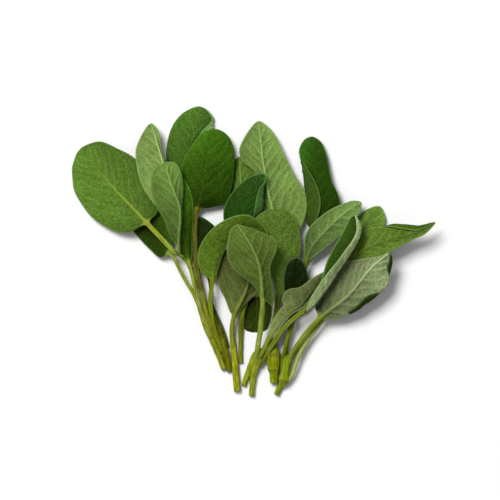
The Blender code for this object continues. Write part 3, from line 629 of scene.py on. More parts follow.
@dataclass(frozen=True)
class LeafPlan:
    """One leaf, from the root of its stalk to its tip.

    Each row of the blade runs from the left margin over the midrib to the right one, as
    seen from the stalk. Where a margin is folded over, the row has the fold as well.

    Args:
        name: the leaf's node in the CAD.
        shows: the side that looks up.
        greens: the colours of both sides.
        radius: the stalk's radius.
        stalk: the stalk's centre line.
        rows: points across the blade, row by row.
        tip: the leaf's tip.
        rib: the midrib's place in a row.
        stalk_green: the stalk's colour.
        midrib: how clearly the midrib shows.
        net: how clearly the net of veins shows on the underside.
        rim: how clearly the pale downy margin shows.
        sheath: the y between which a brown sheath covers the stalk.
        light: painted light and shade, how much lighter the blade is painted towards its tip,
        its right margin, and both margins.
    """

    name: str
    shows: Side
    greens: Palette
    radius: float
    stalk: Points
    rows: tuple[Points, ...]
    tip: Point
    rib: int = 1
    stalk_green: Colour = (0.330, 0.385, 0.060)
    midrib: float = 0.15
    net: float = 0.5
    rim: float = 0.6
    sheath: tuple[float, float] = (0.0, 0.0)
    light: tuple[float, float, float] = (0.0, 0.0, 0.0)


@dataclass(frozen=True)
class StemPlan:
    """One cut stem.

    Args:
        name: the stem's node in the CAD.
        route: x, y, z and half-width along the centre line, from the cut end up.
        joints: the y of each ring that a pair of leaves grew from.
        green: the skin's colour.
    """

    name: str
    route: Points
    joints: tuple[float, ...] = ()
    green: Colour = (0.250, 0.275, 0.030)


LEAVES: tuple[LeafPlan, ...] = (
    LeafPlan(
        name="leaf_outer_left",
        shows=Side.UPPER,
        greens=Palette(upper=(0.075, 0.155, 0.017), under=(0.200, 0.290, 0.095)),
        stalk_green=(0.200, 0.260, 0.025),
        radius=1.1,
        stalk=(
            (-28.4, -7.5, 4.5), (-29.7, -4.5, 3.3), (-32.2, -2, 3.7), (-35.6, -0.3, 8.8),
            (-39.2, 3.5, 9.3), (-43.4, 8, 9.5), (-46.4, 11.1, 9.3), (-48.2, 13.2, 9),
        ),
        rows=(
            ((-53.8, 9, 6.5), (-50, 15, 9.1), (-43, 16.5, 7.6)),
            ((-61, 8.7, 5), (-53.3, 18.6, 9), (-42.8, 24, 7.2)),
            ((-69.5, 12.9, 3.4), (-57.6, 23.1, 8.6), (-45.7, 31.2, 6.4)),
            ((-76.3, 19.7, 2), (-62.6, 28.2, 7.8), (-51.8, 40.4, 5.2)),
            ((-80.7, 28, 0.4), (-67.7, 34.1, 6.4), (-61, 46, 3.4)),
            ((-81.6, 36.6, 0.1), (-73.1, 40.2, 4.4), (-69.8, 49.3, 1.6)),
        ),
        tip=(-78.3, 45.6, 0.7),
        midrib=0.8,
        rim=0.35,
        light=(0.09, -0.27, -0.02),
    ),
    LeafPlan(
        name="leaf_under_left",
        shows=Side.UPPER,
        # Its near-black upper green is painted shade over the upper side's own green: the leaf lies under
        # leaf_outer_left.
        greens=Palette(upper=(0.013, 0.037, 0.002), under=(0.200, 0.290, 0.095)),
        stalk_green=(0.200, 0.260, 0.030),
        radius=0.8,
        stalk=(
            (-27.2, -18.6, 3.9), (-30.4, -13.4, 4.7), (-33.2, -8.2, 5.7), (-35, -4.4, 5.9),
            (-36, -2.6, 5.4), (-36.9, -1.6, 5.2), (-38, -0.3, 5),
        ),
        rows=(
            ((-41.6, -3.3, 3.6), (-39.8, 1.2, 4.8), (-36.2, 4.6, 4.8)),
            ((-47, 1.3, 2.4), (-43.6, 5.7, 4.4), (-38, 12.7, 4.6)),
            ((-52.4, 7.3, 1.6), (-47.2, 10.9, 3.8), (-41.6, 20.4, 4.2)),
            ((-57.4, 14.5, 0.32), (-51.1, 16.8, 3), (-47, 26.2, 3.4)),
        ),
        tip=(-56, 24, 0.3),
        midrib=0.04,
        rim=0.25,
        light=(-0.60, 0.60, 0.60),
    ),
    LeafPlan(
        name="leaf_tall_left",
        shows=Side.UNDER,
        greens=Palette(upper=(0.060, 0.140, 0.018), under=(0.065, 0.119, 0.020)),
        stalk_green=(0.131, 0.178, 0.040),
        radius=0.7,
        stalk=((-31.3, -2.7, 2.6), (-32.7, -2, 5), (-33.4, -0.1, 9.8), (-33.5, 1.9, 10.2)),
        rows=(
            ((-37.1, 6.2, 9.9), (-33.6, 5.1, 11.2), (-32.9, 6.9, 9.9)),
            ((-40.1, 14.1, 10.4), (-32.9, 13.2, 12.2), (-32.2, 15.9, 9.5)),
            ((-43.4, 19.7, 11), (-33.1, 19.9, 13), (-31.7, 24, 8.8)),
            ((-45.3, 25.3, 11.6), (-35.3, 25.8, 13.3), (-31.7, 30.3, 9.2)),
            ((-45.9, 31.6, 12), (-37.4, 31.6, 13.2), (-32.6, 35.7, 10.8)),
            ((-44.3, 37, 12.2), (-38.6, 35.9, 12.9), (-35.1, 39.5, 11.2)),
        ),
        tip=(-38.9, 40, 11.8),
        midrib=0.85,
        net=0.3,
        rim=0.35,
        light=(0.43, 0.24, 0.06),
    ),
    LeafPlan(
        name="leaf_pale_left",
        shows=Side.UNDER,
        greens=Palette(upper=(0.060, 0.140, 0.018), under=(0.134, 0.213, 0.050)),
        radius=0.65,
        stalk=(
            (-30.4, -2.9, 2.6), (-31.7, -2.3, 4.6), (-33.1, -1.5, 7.8), (-34.4, 3.7, 8.3),
            (-36.2, 9.6, 8.6),
        ),
        rows=(
            ((-41, 16.8, 8.9), (-37.8, 15.9, 9.3), (-35.1, 17.2, 9)),
            ((-44.8, 21.5, 9.4), (-38.8, 21.7, 10.1), (-34.4, 23.1, 9.6)),
            ((-48.4, 26.4, 9.4), (-39.2, 27.6, 10.5), (-34.4, 28.9, 9.6)),
            ((-51.2, 32.7, 8.9), (-39.7, 33.4, 10.7), (-35.8, 34.3, 9.8)),
            ((-52.6, 39.5, 8.1), (-40.5, 39, 10.6), (-39.2, 38.4, 9.6)),
            ((-52.7, 46, 6.8), (-42.8, 46.9, 10.2), (-41.5, 46.7, 8.2)),
            ((-50.6, 51.4, 5.6), (-44.4, 52.5, 8.2), (-42.4, 53.7, 6.4)),
        ),
        tip=(-46.1, 57.4, 4.8),
        midrib=0.85,
        net=0.3,
        rim=0.35,
        light=(-0.18, 0.26, 0.08),
    ),
    LeafPlan(
        name="leaf_behind_tall",
        shows=Side.UPPER,
        greens=Palette(upper=(0.046, 0.140, 0.003), under=(0.200, 0.290, 0.095)),
        stalk_green=(0.184, 0.219, 0.023),
        radius=0.85,
        stalk=(
            (-18.7, -39, 2.8), (-20.9, -33.2, 4.2), (-23.3, -27.3, 5.5), (-25.1, -21.9, 5.9),
            (-26.3, -16.1, 5.8), (-27.8, -10.2, 4.9), (-29, -5.7, 4.5),
        ),
        rows=(
            ((-32.6, -2.8, 4.4), (-29.9, -1.2, 4.8), (-27.5, -1.2, 4.3)),
            ((-34.9, 3.7, 5.2), (-31, 5.1, 5.4), (-27.5, 6.9, 4.8)),
            ((-38, 12.3, 5.6), (-32.2, 12.3, 6), (-27, 15.4, 5.2)),
            ((-39.8, 21.3, 5.6), (-33.3, 19.5, 6.2), (-27.2, 21.7, 5.4)),
            ((-39.8, 29.4, 5.2), (-34.4, 26.7, 6), (-28.8, 28.2, 5.6)),
            ((-38.9, 34.3, 5), (-35.2, 32.5, 5.7), (-31.5, 32.7, 5.4)),
        ),
        tip=(-36.2, 37, 5.2),
        midrib=0.1,
        rim=0.58,
        light=(0.60, -0.60, -0.02),
    ),
    LeafPlan(
        name="leaf_oval",
        shows=Side.UPPER,
        greens=Palette(upper=(0.022, 0.074, 0.002), under=(0.200, 0.290, 0.095)),
        stalk_green=(0.150, 0.155, 0.010),
        radius=1.05,
        stalk=(
            (-16.2, -41.3, 2.2), (-18.1, -36.3, 3.6), (-20, -31.8, 4.8), (-21.6, -26, 4.6),
            (-22.7, -20.6, 4.5), (-24.1, -14.3, 4.3), (-25.3, -7.5, 4.2), (-26, -0.3, 4.2),
            (-26.2, 6.4, 4.2), (-26.2, 13.2, 4.3), (-25.6, 18.6, 4.6),
        ),
        rows=(
            ((-28.6, 20.6, 3.8), (-24.8, 21.7, 5.6), (-19.6, 19.5, 4.4)),
            ((-31.3, 28.5, 3.8), (-23.6, 26.7, 6.6), (-12.4, 21.7, 4.4)),
            ((-32.2, 36.1, 4.6), (-22.5, 33, 7.4), (-9.7, 29.4, 4.6)),
            ((-30.8, 42.2, 5.6), (-21.4, 39.7, 7.4), (-8.8, 36.6, 4.8)),
            ((-27.2, 48, 5.8), (-20.5, 45.6, 6.8), (-8.8, 44.2, 4.6)),
            ((-23.2, 53, 5.2), (-19.4, 50.5, 6), (-10.8, 51.2, 4.2)),
        ),
        tip=(-16.9, 54.9, 4.4),
        midrib=0.1,
        rim=0.35,
        sheath=(-19.0, 20.0),
        light=(0.60, -0.22, 0.12),
    ),
    LeafPlan(
        name="leaf_back_left",
        shows=Side.UPPER,
        greens=Palette(upper=(0.030, 0.075, 0.008), under=(0.147, 0.259, 0.072)),
        stalk_green=(0.270, 0.324, 0.050),
        radius=0.9,
        stalk=(
            (-16.4, -37.7, 1.8), (-18.2, -32.7, 2.2), (-20, -27.3, 2.4), (-22.7, -21, 2.2),
            (-25.6, -13.4, 1.8), (-27.9, -4.8, 1.6), (-29.2, 3.3, 1.5), (-29.5, 11.4, 1.6),
        ),
        rows=(
            ((-32.8, 16.8, 1.6), (-29.5, 16.8, 1.9), (-26.6, 19.2, 1.75), (-26.1, 19.7, 1.7)),
            ((-35.8, 27.6, 1.4), (-29.5, 24.9, 2.2), (-22.3, 27.1, 2), (-21.4, 27.8, 1.9)),
            ((-38.5, 36.6, 1), (-29.2, 33, 2.4), (-18.7, 35.2, 2), (-20, 32.1, 2.4)),
            ((-39.2, 44.2, 0.6), (-28.7, 41.1, 2.4), (-18, 44.7, 1.8), (-24.5, 42.9, 3.6)),
            ((-38.2, 51.4, 0.2), (-27.9, 49.2, 2.2), (-17.8, 51.4, 1.8), (-24.8, 51, 3.8)),
            ((-35.6, 57.9, 0.1), (-26.6, 56.4, 1.9), (-18.3, 57.2, 2), (-21.4, 56, 3.4)),
            ((-30.4, 63.1, 0.1), (-24.8, 61.8, 1.5), (-18, 60.1, 1.7), (-18.5, 59.3, 2.4)),
        ),
        tip=(-23.8, 65, 0.35),
        midrib=0.1,
        rim=0.35,
        light=(0.60, -0.60, -0.20),
    ),
    LeafPlan(
        name="leaf_dark_small",
        shows=Side.UPPER,
        # The near-black greens of its blade and stalk are painted shade: the leaf lies in the shade of
        # the leaves over it.
        greens=Palette(upper=(0.002, 0.013, 0.002), under=(0.200, 0.290, 0.095)),
        stalk_green=(0.035, 0.065, 0.008),
        radius=0.55,
        stalk=(
            (-11.4, -43.1, 1.2), (-12.5, -38.6, 1.3), (-14.4, -33.6, 1.8), (-17.1, -27.3, 2.6),
            (-18.9, -22.4, 3), (-19.5, -17, 2.6), (-20.2, -12, 2.6),
        ),
        rows=(
            ((-23.6, -9.3, 2.4), (-20.9, -8.4, 3), (-18, -7.5, 3.2)),
            ((-24.4, -3, 2.4), (-21.4, -3, 3.4), (-16, -1.2, 3.6)),
            ((-24.7, 3.7, 2.4), (-21.8, 3.3, 3.6), (-15.3, 5.1, 3.8)),
            ((-24.9, 10, 2.2), (-22.7, 9.1, 3.2), (-17.3, 10.9, 3.4)),
        ),
        tip=(-24.3, 15.3, 2),
        midrib=0.04,
        rim=0.29,
    ),
    LeafPlan(
        name="leaf_arching",
        shows=Side.UPPER,
        greens=Palette(upper=(0.064, 0.120, 0.009), under=(0.200, 0.290, 0.095)),
        stalk_green=(0.129, 0.160, 0.004),
        radius=1.0,
        stalk=(
            (-14, -45.3, 2), (-16.4, -38.6, 4.6), (-18.3, -32.3, 6.2), (-19, -27.3, 6.5),
            (-19.4, -21.9, 6.8), (-19, -17, 7.4), (-18.4, -12.7, 7.8),
        ),
        rows=(
            ((-22.5, -10.7, 7), (-18.2, -8.9, 8.6), (-16.3, -9.6, 7.6)),
            ((-24.7, -5.3, 7.6), (-18, -3, 10), (-14.4, -3, 8.8)),
            ((-24.3, 1.5, 9), (-16.9, 2.8, 11.6), (-12.4, 1.9, 10.2)),
            ((-20.9, 7.5, 11.2), (-14.2, 7.3, 13.4), (-10.6, 5.1, 11.8)),
            ((-15.5, 12.5, 13.2), (-9.7, 10.2, 14.4), (-6.1, 6, 12.8)),
            ((-7.9, 15.9, 14.8), (-4.3, 11.4, 14.2), (-0.7, 6, 12.8)),
            ((-1.6, 16, 14.4), (1.1, 10.7, 13.4), (3.4, 6, 12.4)),
        ),
        tip=(6.5, 8.2, 12.6),
        midrib=0.1,
        rim=0.68,
        light=(-0.35, -0.01, 0.07),
    ),
    LeafPlan(
        name="leaf_blue_tip",
        shows=Side.UPPER,
        greens=Palette(upper=(0.014, 0.067, 0.006), under=(0.019, 0.049, 0.009)),
        radius=0.9,
        stalk=(
            (-2.2, -18.3, 3.8), (-1.6, -14.3, 4.6), (-1.4, -10.7, 5.4), (-2.9, -3.9, 5.7),
            (-5.2, 2.8, 6.3), (-7, 7.8, 7.4),
        ),
        rows=(
            ((-12.4, 10.9, 6.8), (-7, 11.4, 8.4), (-1.1, 13.6, 8.4), (-0.2, 14.1, 8.4)),
            ((-13.5, 18.1, 7.4), (-5.4, 17.2, 9.6), (3.8, 18.6, 9.6), (0.4, 17.2, 11.6)),
            ((-11, 24.2, 8.4), (-2.9, 22.6, 10.6), (4.1, 24.4, 10.8), (1.1, 23.3, 12.6)),
            ((-6.3, 29.8, 9.4), (0.2, 27.6, 11.4), (4.7, 29.1, 11.4), (2.9, 28.2, 12.8)),
            ((-1.1, 33.5, 10.2), (3.2, 31.6, 11.6), (5.5, 32.3, 11.4), (5.2, 31.6, 12)),
        ),
        tip=(5, 34.6, 11.2),
        midrib=0.04,
        rim=0.61,
        light=(0.11, 0.60, 0.23),
    ),
    LeafPlan(
        name="leaf_sliver",
        shows=Side.UNDER,
        greens=Palette(upper=(0.060, 0.140, 0.018), under=(0.050, 0.097, 0.011)),
        radius=0.75,
        stalk=(
            (-2.5, -17.9, 3.8), (-2, -12.5, 3.8), (-2.9, -5.7, 3.2), (-4.5, 1.5, 2.6), (-5.9, 7.8, 2.2),
        ),
        rows=(
            ((-10.1, 12.7, 2), (-5.9, 12.3, 2.4), (-1.6, 13.6, 2.8)),
            ((-11.5, 21.3, 1.8), (-5.6, 19.5, 2.8), (0.7, 21.7, 3)),
            ((-11.5, 29.4, 1.4), (-5.4, 27.6, 2.8), (1.1, 30.3, 2.8)),
            ((-10.4, 37, 0.2), (-5.9, 35.2, 2.2), (-0.2, 37.9, 2.2)),
        ),
        tip=(-6.5, 42.5, 0.3),
        midrib=0.85,
    ),
    LeafPlan(
        name="leaf_tall_centre",
        shows=Side.UNDER,
        greens=Palette(upper=(0.060, 0.140, 0.018), under=(0.088, 0.148, 0.029)),
        stalk_green=(0.149, 0.187, 0.019),
        radius=1.1,
        stalk=(
            (9, -33.2, 2.6), (9.7, -29.1, 2.8), (10.3, -25.5, 3), (11.2, -18.8, 3.2),
            (12.3, -11.1, 3.8), (12.8, -4.4, 4.6), (12.6, 1, 5.4),
        ),
        rows=(
            ((6.5, 5.1, 5.4), (11.7, 6, 6.2), (17.8, 4.6, 5)),
            ((1.1, 11.4, 6), (10.4, 11.8, 7.2), (21.8, 11.6, 4.8)),
            ((-0.7, 19.9, 5.4), (8.7, 18.1, 7.8), (24, 19.9, 4.6)),
            ((0.7, 28.5, 4.8), (7.1, 24.2, 8), (22.9, 27.3, 4.6)),
            ((0.2, 35.9, 5), (5.8, 31.2, 7.8), (19.6, 32.3, 4.8)),
            ((-4.7, 39.9, 4.2), (4.7, 37.5, 7.4), (16.2, 38.4, 4.8)),
            ((-6.4, 44.9, 3.2), (3.8, 43.8, 6.6), (13.3, 44.7, 4.6)),
            ((-4.4, 50.7, 2.4), (3.2, 50.1, 5.2), (10.5, 50.7, 3.8)),
            ((-1.1, 55.7, 1), (2.7, 54.8, 3.6), (6.5, 56, 2.6)),
        ),
        tip=(2.4, 58.5, 0.8),
        midrib=0.85,
        net=0.45,
        rim=0.35,
        light=(0.07, 0.24, -0.00),
    ),
    LeafPlan(
        name="leaf_bright_right",
        shows=Side.UPPER,
        greens=Palette(upper=(0.084, 0.155, 0.018), under=(0.200, 0.290, 0.095)),
        # The dark stalk green is painted shade: the stalk lies in the shadow between leaves.
        stalk_green=(0.075, 0.090, 0.003),
        radius=0.95,
        stalk=(
            (8.8, -35.4, 3), (9.9, -30.9, 4.3), (10.6, -26.9, 5.4), (10.9, -23.7, 5.6),
            (11.4, -20.4, 5.9),
        ),
        rows=(
            ((10, -18.3, 5.9), (11.8, -18.8, 6.2), (13.8, -18.3, 5.6)),
            ((8.6, -11.8, 6.5), (11.9, -13.2, 7), (14.8, -12.5, 5.6)),
            ((6.3, -6.6, 7.9), (12.1, -7.8, 8.2), (16.4, -7.1, 5.8)),
            ((3.8, -1.7, 9), (11.7, -2.1, 9.2), (20.5, -2.1, 6.4)),
            ((0.4, 4.6, 9), (11, 3.7, 10), (21.2, 4.6, 7.4)),
            ((-0.7, 10, 9.6), (10.6, 9.1, 10.6), (20.2, 10.7, 8.2)),
            ((0.7, 14.7, 9.6), (10.1, 14.1, 10.6), (18, 15.2, 8.6)),
            ((4.5, 17.8, 9.4), (10.4, 17.2, 10.2), (15.3, 18.3, 8.8)),
        ),
        tip=(10.6, 18.9, 9.4),
        rim=0.58,
        light=(-0.15, 0.03, 0.01),
    ),
    LeafPlan(
        name="leaf_small_dark_right",
        shows=Side.UPPER,
        # Its near-black upper green is painted shade: the leaf lies in the shade of the leaves over it.
        greens=Palette(upper=(0.002, 0.008, 0.002), under=(0.200, 0.290, 0.095)),
        stalk_green=(0.106, 0.131, 0.033),
        radius=0.75,
        stalk=(
            (9.7, -31.8, 2.8), (11, -28.9, 3.8), (12.4, -26.7, 4.4), (14.2, -24.9, 4.9),
            (16.2, -23.3, 5.4),
        ),
        rows=(
            ((14.6, -21, 5.4), (17.8, -20.4, 6.2), (21.8, -20.1, 5.6)),
            ((13.4, -15.2, 6.8), (18.7, -14.7, 7.4), (25, -15, 6.2)),
            ((13.7, -9.3, 8.3), (19, -9.3, 8.6), (24.4, -9.8, 7.2)),
            ((15.4, -4.8, 8.9), (19.4, -5.4, 9.2), (22.6, -5.1, 8.1)),
        ),
        tip=(19.6, -2.6, 9.1),
        midrib=0.04,
        rim=1.0,
        light=(0.60, 0.60, 0.60),
    ),
    LeafPlan(
        name="leaf_front",
        shows=Side.UNDER,
        greens=Palette(upper=(0.060, 0.140, 0.018), under=(0.053, 0.084, 0.012)),
        stalk_green=(0.181, 0.227, 0.032),
        radius=1.2,
        stalk=(
            (0.9, -49.8, 2.6), (1.5, -46.7, 4.8), (1.8, -44, 6.8), (2.3, -40.4, 7.7), (3.1, -35.9, 8.8),
            (3.5, -30.9, 10.6), (4, -26, 13.2), (4.2, -21.5, 15.4),
        ),
        rows=(
            ((2.2, -18.1, 15.6), (4, -18.8, 16.8), (8.3, -25.1, 12.6)),
            ((-1.4, -14.1, 16.6), (3.7, -14.7, 18.6), (9.2, -18.3, 14.8)),
            ((-6.1, -10.5, 17.6), (3.2, -10.2, 20.6), (7.6, -11.6, 17)),
            ((-10.4, -5.3, 18.6), (2.4, -6, 22.2), (7.6, -5.7, 18.6)),
            ((-11.9, -0.8, 19.8), (0.9, -1.7, 23.4), (9.9, -0.6, 19.2)),
            ((-11.5, 4.4, 20.6), (-0.9, 1.9, 24), (10.4, 4.8, 19.2)),
            ((-10.6, 8.2, 21), (-2.9, 5.5, 24), (4.3, 8.2, 20.6)),
            ((-9.5, 10.6, 21.2), (-5.4, 9.1, 23.2), (-2.5, 10.5, 21.6)),
        ),
        tip=(-7.4, 11.9, 21.6),
        midrib=0.85,
        net=0.45,
        rim=0.68,
        light=(0.19, 0.02, -0.03),
    ),
    LeafPlan(
        name="leaf_olive",
        shows=Side.UNDER,
        greens=Palette(upper=(0.060, 0.140, 0.018), under=(0.051, 0.065, 0.014)),
        stalk_green=(0.152, 0.173, 0.009),
        radius=1.15,
        stalk=((-9, -43.5, 1.9), (-9.7, -37.7, 2.9), (-9.5, -33.2, 3.7), (-8.6, -28.7, 4.7)),
        rows=(
            ((-10.8, -26.7, 5), (-7.2, -25.3, 6.2), (-4.5, -24.6, 5.2)),
            ((-12.8, -21.3, 4.8), (-5.2, -21.5, 7.4), (-0.7, -20.8, 5.8)),
            ((-15.3, -16.1, 4.8), (-3.2, -17, 8.6), (3.4, -16.5, 6.8)),
            ((-16.4, -10.5, 5), (-2, -11.6, 9.4), (5.6, -10.2, 7.4)),
            ((-15.5, -3.9, 5.6), (-1.6, -5.3, 9.6), (5.6, -3, 7.8)),
            ((-11.5, 1.5, 6.8), (-2, 0.6, 9.2), (2.9, 1.9, 7.8)),
        ),
        tip=(-3.4, 5.1, 8.4),
        midrib=0.95,
        net=0.45,
        rim=0.61,
        light=(-0.60, 0.19, 0.27),
    ),
    LeafPlan(
        name="leaf_low_centre",
        shows=Side.UPPER,
        # Its near-black upper green is painted shade: the leaf fills a deep shadow among the stalks.
        greens=Palette(upper=(0.017, 0.033, 0.002), under=(0.200, 0.290, 0.095)),
        radius=0.7,
        stalk=(
            (-1.8, -17, 4), (-0.7, -15.6, 4.1), (0.2, -15.4, 4), (0.9, -17.2, 3.8), (1.1, -19.2, 3.4),
        ),
        rows=(
            ((6.8, -21, 2.2), (1.6, -21.9, 2.9), (-2, -21.3, 1.6)),
            ((7.9, -26, 1.4), (1.6, -26.4, 2.3), (-3.6, -26.4, 0.8)),
            ((7.4, -31.2, 0.8), (1.4, -30.9, 1.6), (-3.9, -31.4, 0.4)),
            ((5.6, -35.3, 0.4), (0.9, -34.3, 1), (-3.9, -35.3, 0.2)),
        ),
        tip=(0.7, -36.3, 0.3),
        midrib=0.04,
        rim=0.14,
        light=(0.60, -0.60, 0.12),
    ),
    LeafPlan(
        name="leaf_pale_low",
        shows=Side.UNDER,
        greens=Palette(upper=(0.060, 0.140, 0.018), under=(0.084, 0.104, 0.031)),
        stalk_green=(0.128, 0.165, 0.008),
        radius=1.0,
        stalk=(
            (1.8, -50.3, 2.6), (2.9, -47.8, 4.6), (4, -45.1, 6.6), (5.4, -42.2, 6.8), (6.7, -39.9, 7),
        ),
        rows=(
            ((6.8, -35.4, 6.9), (8.6, -36.8, 7.4), (10.1, -37.6, 7.1)),
            ((9.2, -30, 7.3), (11.7, -32.4, 7.9), (12.9, -33.2, 7.6)),
            ((11.7, -26.2, 7.4), (14.6, -28.8, 8.1), (15.5, -29.8, 7.8)),
            ((13.5, -24.4, 7), (18.2, -26, 8.3), (19, -27.2, 7.8)),
            ((13.3, -23.5, 6.6), (21.4, -24.1, 8.6), (23.2, -25.1, 7.6)),
            ((12.4, -21.7, 6.8), (22.5, -22.6, 9), (25, -22.4, 7.4)),
            ((15.1, -17.2, 8), (24.3, -20.4, 9.4), (27.2, -19.9, 7.4)),
            ((20.9, -16.1, 9), (26.8, -17.4, 9.6), (29.9, -16.5, 7.6)),
            ((25.9, -12.3, 9), (29.7, -14.1, 9.3), (33.1, -12.9, 7.4)),
            ((30.4, -9.8, 8.7), (32.8, -10.7, 9), (35.6, -9.8, 7.6)),
        ),
        tip=(36.7, -6.6, 8.3),
        midrib=0.4,
        net=0.35,
        light=(-0.60, 0.11, 0.48),
    ),
    LeafPlan(
        name="leaf_folded",
        shows=Side.UPPER,
        greens=Palette(upper=(0.025, 0.069, 0.006), under=(0.159, 0.206, 0.087)),
        stalk_green=(0.123, 0.158, 0.013),
        radius=1.1,
        stalk=(
            (2.5, -51.6, 2.2), (4.5, -47.8, 4.2), (6.8, -44.5, 6), (8.1, -42.5, 6.1), (10, -39.7, 6.5),
            (13.3, -35.2, 7.4), (16.9, -31.4, 8.6), (20, -28.7, 9.6), (22.7, -26.9, 10.4),
        ),
        rows=(
            ((25.3, -23, 11.4), (26.5, -24.5, 11), (24.5, -23.3, 12.6)),
            ((28.7, -16.8, 13), (30.4, -19.5, 12.6), (27.6, -17.6, 15)),
            ((31, -10.9, 13.6), (34.2, -14.3, 13.6), (30.8, -13.2, 16.4)),
            ((32.4, -5.7, 14), (37.6, -9.1, 14.6), (34, -8.9, 17.6)),
            ((34.6, -0.6, 14.2), (41.2, -3.9, 15.4), (37.6, -4.4, 18.2)),
            ((37.1, 3.7, 14), (44.3, 0.8, 15.8), (41.2, 0.6, 18.2)),
            ((39.6, 8, 13.6), (46.8, 5.1, 15.8), (44.1, 4.6, 17.6)),
            ((41.6, 11.8, 13), (48.1, 9.2, 15.2), (46, 8.7, 16.7)),
            ((43.4, 15, 12.6), (47.5, 13.3, 14.3), (46.1, 12.1, 15.6)),
        ),
        tip=(45.2, 16.1, 13.2),
        midrib=0.04,
        rim=1.0,
        light=(0.01, 0.60, 0.60),
    ),
    LeafPlan(
        name="leaf_pale_right",
        shows=Side.UNDER,
        greens=Palette(upper=(0.060, 0.140, 0.018), under=(0.074, 0.126, 0.029)),
        stalk_green=(0.093, 0.126, 0.003),
        radius=0.9,
        stalk=(
            (12.6, -51.6, 2.6), (13.3, -47.6, 3.6), (14.3, -43.5, 4.6), (15.5, -38.1, 5),
            (17.3, -33.2, 5), (19.1, -27.3, 4.4), (20.9, -20.1, 3.8), (22.7, -12, 4), (23.8, -4.8, 5.6),
        ),
        rows=(
            ((22.7, 0.6, 6.4), (25, -0.3, 7), (26.6, -2.8, 6.4)),
            ((23, 6.4, 6.8), (27.2, 3.3, 8), (29.9, -0.3, 6.8)),
            ((25.4, 11.1, 7.4), (30.4, 7.1, 8.8), (33.8, 2.6, 7)),
            ((29.9, 15.4, 7.8), (34, 10.9, 9), (37.6, 6, 7)),
            ((35.3, 19.2, 7.6), (38, 14.7, 8.6), (41.2, 9.1, 7)),
            ((41, 21.6, 6.8), (42.1, 18.1, 7.8), (45, 13.6, 6.6)),
            ((45, 22.7, 6.2), (45.7, 20.5, 6.8), (47.9, 17.9, 6)),
        ),
        tip=(48.4, 21.9, 5.8),
        midrib=0.35,
        net=0.35,
        light=(0.60, 0.14, -0.07),
    ),
    LeafPlan(
        name="leaf_top_right",
        shows=Side.UPPER,
        greens=Palette(upper=(0.014, 0.060, 0.002), under=(0.014, 0.031, 0.003)),
        stalk_green=(0.195, 0.235, 0.019),
        radius=0.85,
        stalk=(
            (14.2, -51.2, 1.8), (14.6, -47.1, 1.9), (14.9, -43.1, 2), (15.8, -37.7, 2),
            (17.1, -30.9, 2), (18.7, -23.3, 1.3), (20.5, -15.2, 0.95), (22.5, -7.5, 1.2),
            (25.2, -1.2, 2), (28.1, 3.7, 2.8), (30.2, 7.8, 3.6),
        ),
        rows=(
            ((27.7, 10.7, 4.8), (25, 10.9, 3), (30.6, 12.3, 4.4), (35.3, 12.3, 4)),
            ((29.7, 17.7, 6.4), (23.4, 19, 3.2), (30.1, 19.5, 5.2), (39.1, 18.6, 4.6)),
            ((29.7, 24.9, 6.8), (23.6, 26.7, 3), (29.5, 26.2, 5.6), (38.2, 24.9, 5)),
            ((27.7, 31.6, 6.6), (22.6, 33.4, 2.6), (28.7, 33, 5.6), (35.3, 31.2, 5)),
            ((23.4, 38.4, 4.2), (21.3, 39.9, 2.2), (27.9, 39.3, 5.2), (34, 37.9, 4.4)),
            ((20.3, 44.9, 0.5), (21.2, 44.8, 0.9), (27.1, 45.1, 4.2), (32.6, 44, 3.6)),
            ((22.5, 49.9, 0.3), (23.4, 49.6, 0.6), (26.6, 48.9, 3), (30.2, 49.2, 2.4)),
        ),
        tip=(26.2, 51.5, 0.6),
        rib=2,
        midrib=0.04,
        rim=0.61,
        light=(0.28, -0.60, 0.34),
    ),
    LeafPlan(
        name="leaf_far_back_right",
        shows=Side.UPPER,
        greens=Palette(upper=(0.076, 0.142, 0.019), under=(0.200, 0.290, 0.095)),
        stalk_green=(0.196, 0.235, 0.029),
        radius=0.8,
        stalk=(
            (14.6, -51.6, 1.8), (16.9, -48.5, 1.6), (19.1, -45.3, 1.4), (22.7, -40.4, 1.1),
            (26.8, -35, 0.9), (30.4, -29.1, 1), (34, -22.4, 1.7), (37.6, -15.2, 2.2), (41, -8, 3),
        ),
        rows=(
            ((39.8, -2.1, 2.8), (43, -3.5, 3.4), (46.6, -4.8, 3)),
            ((40.5, 4.2, 2.4), (45.7, 1.9, 3.6), (51.1, 0.1, 3)),
            ((43.4, 10.9, 2), (48.8, 7.8, 3.4), (55.1, 6, 2.8)),
            ((47.8, 16.3, 0.8), (52, 13.2, 2.8), (58.3, 10.9, 2.6)),
            ((51.8, 19.2, 0.2), (54.4, 17.2, 2), (59.2, 15.2, 2)),
        ),
        tip=(56.9, 20.1, 0.5),
        light=(0.60, 0.15, 0.32),
    ),
    LeafPlan(
        name="leaf_outer_right",
        shows=Side.UNDER,
        greens=Palette(upper=(0.048, 0.108, 0.008), under=(0.054, 0.097, 0.009)),
        stalk_green=(0.262, 0.304, 0.072),
        radius=0.9,
        stalk=(
            (14.4, -59.7, 2.2), (16.1, -57.9, 2.8), (17.6, -55.2, 3.2), (18.8, -51.6, 3.6),
            (20.4, -47.1, 4), (22.7, -42.6, 4.2), (25.6, -38.1, 4.2), (29, -33.9, 4.2),
            (32.6, -29.1, 4.4), (36.2, -21.9, 4.8), (38.9, -14.3, 5.6), (41, -7.5, 6.8),
        ),
        rows=(
            ((43.6, 3.3, 7), (43.9, 1.5, 7.4), (44.1, -3, 8), (48.4, -4.8, 7.4)),
            ((49.7, 9.1, 7.6), (49.3, 6.9, 8.2), (49.7, 1, 9.6), (54.7, -2.8, 9)),
            ((56.2, 10.9, 9.2), (55.6, 8.7, 9.6), (56, 3.7, 10.8), (61, -0.3, 10.2)),
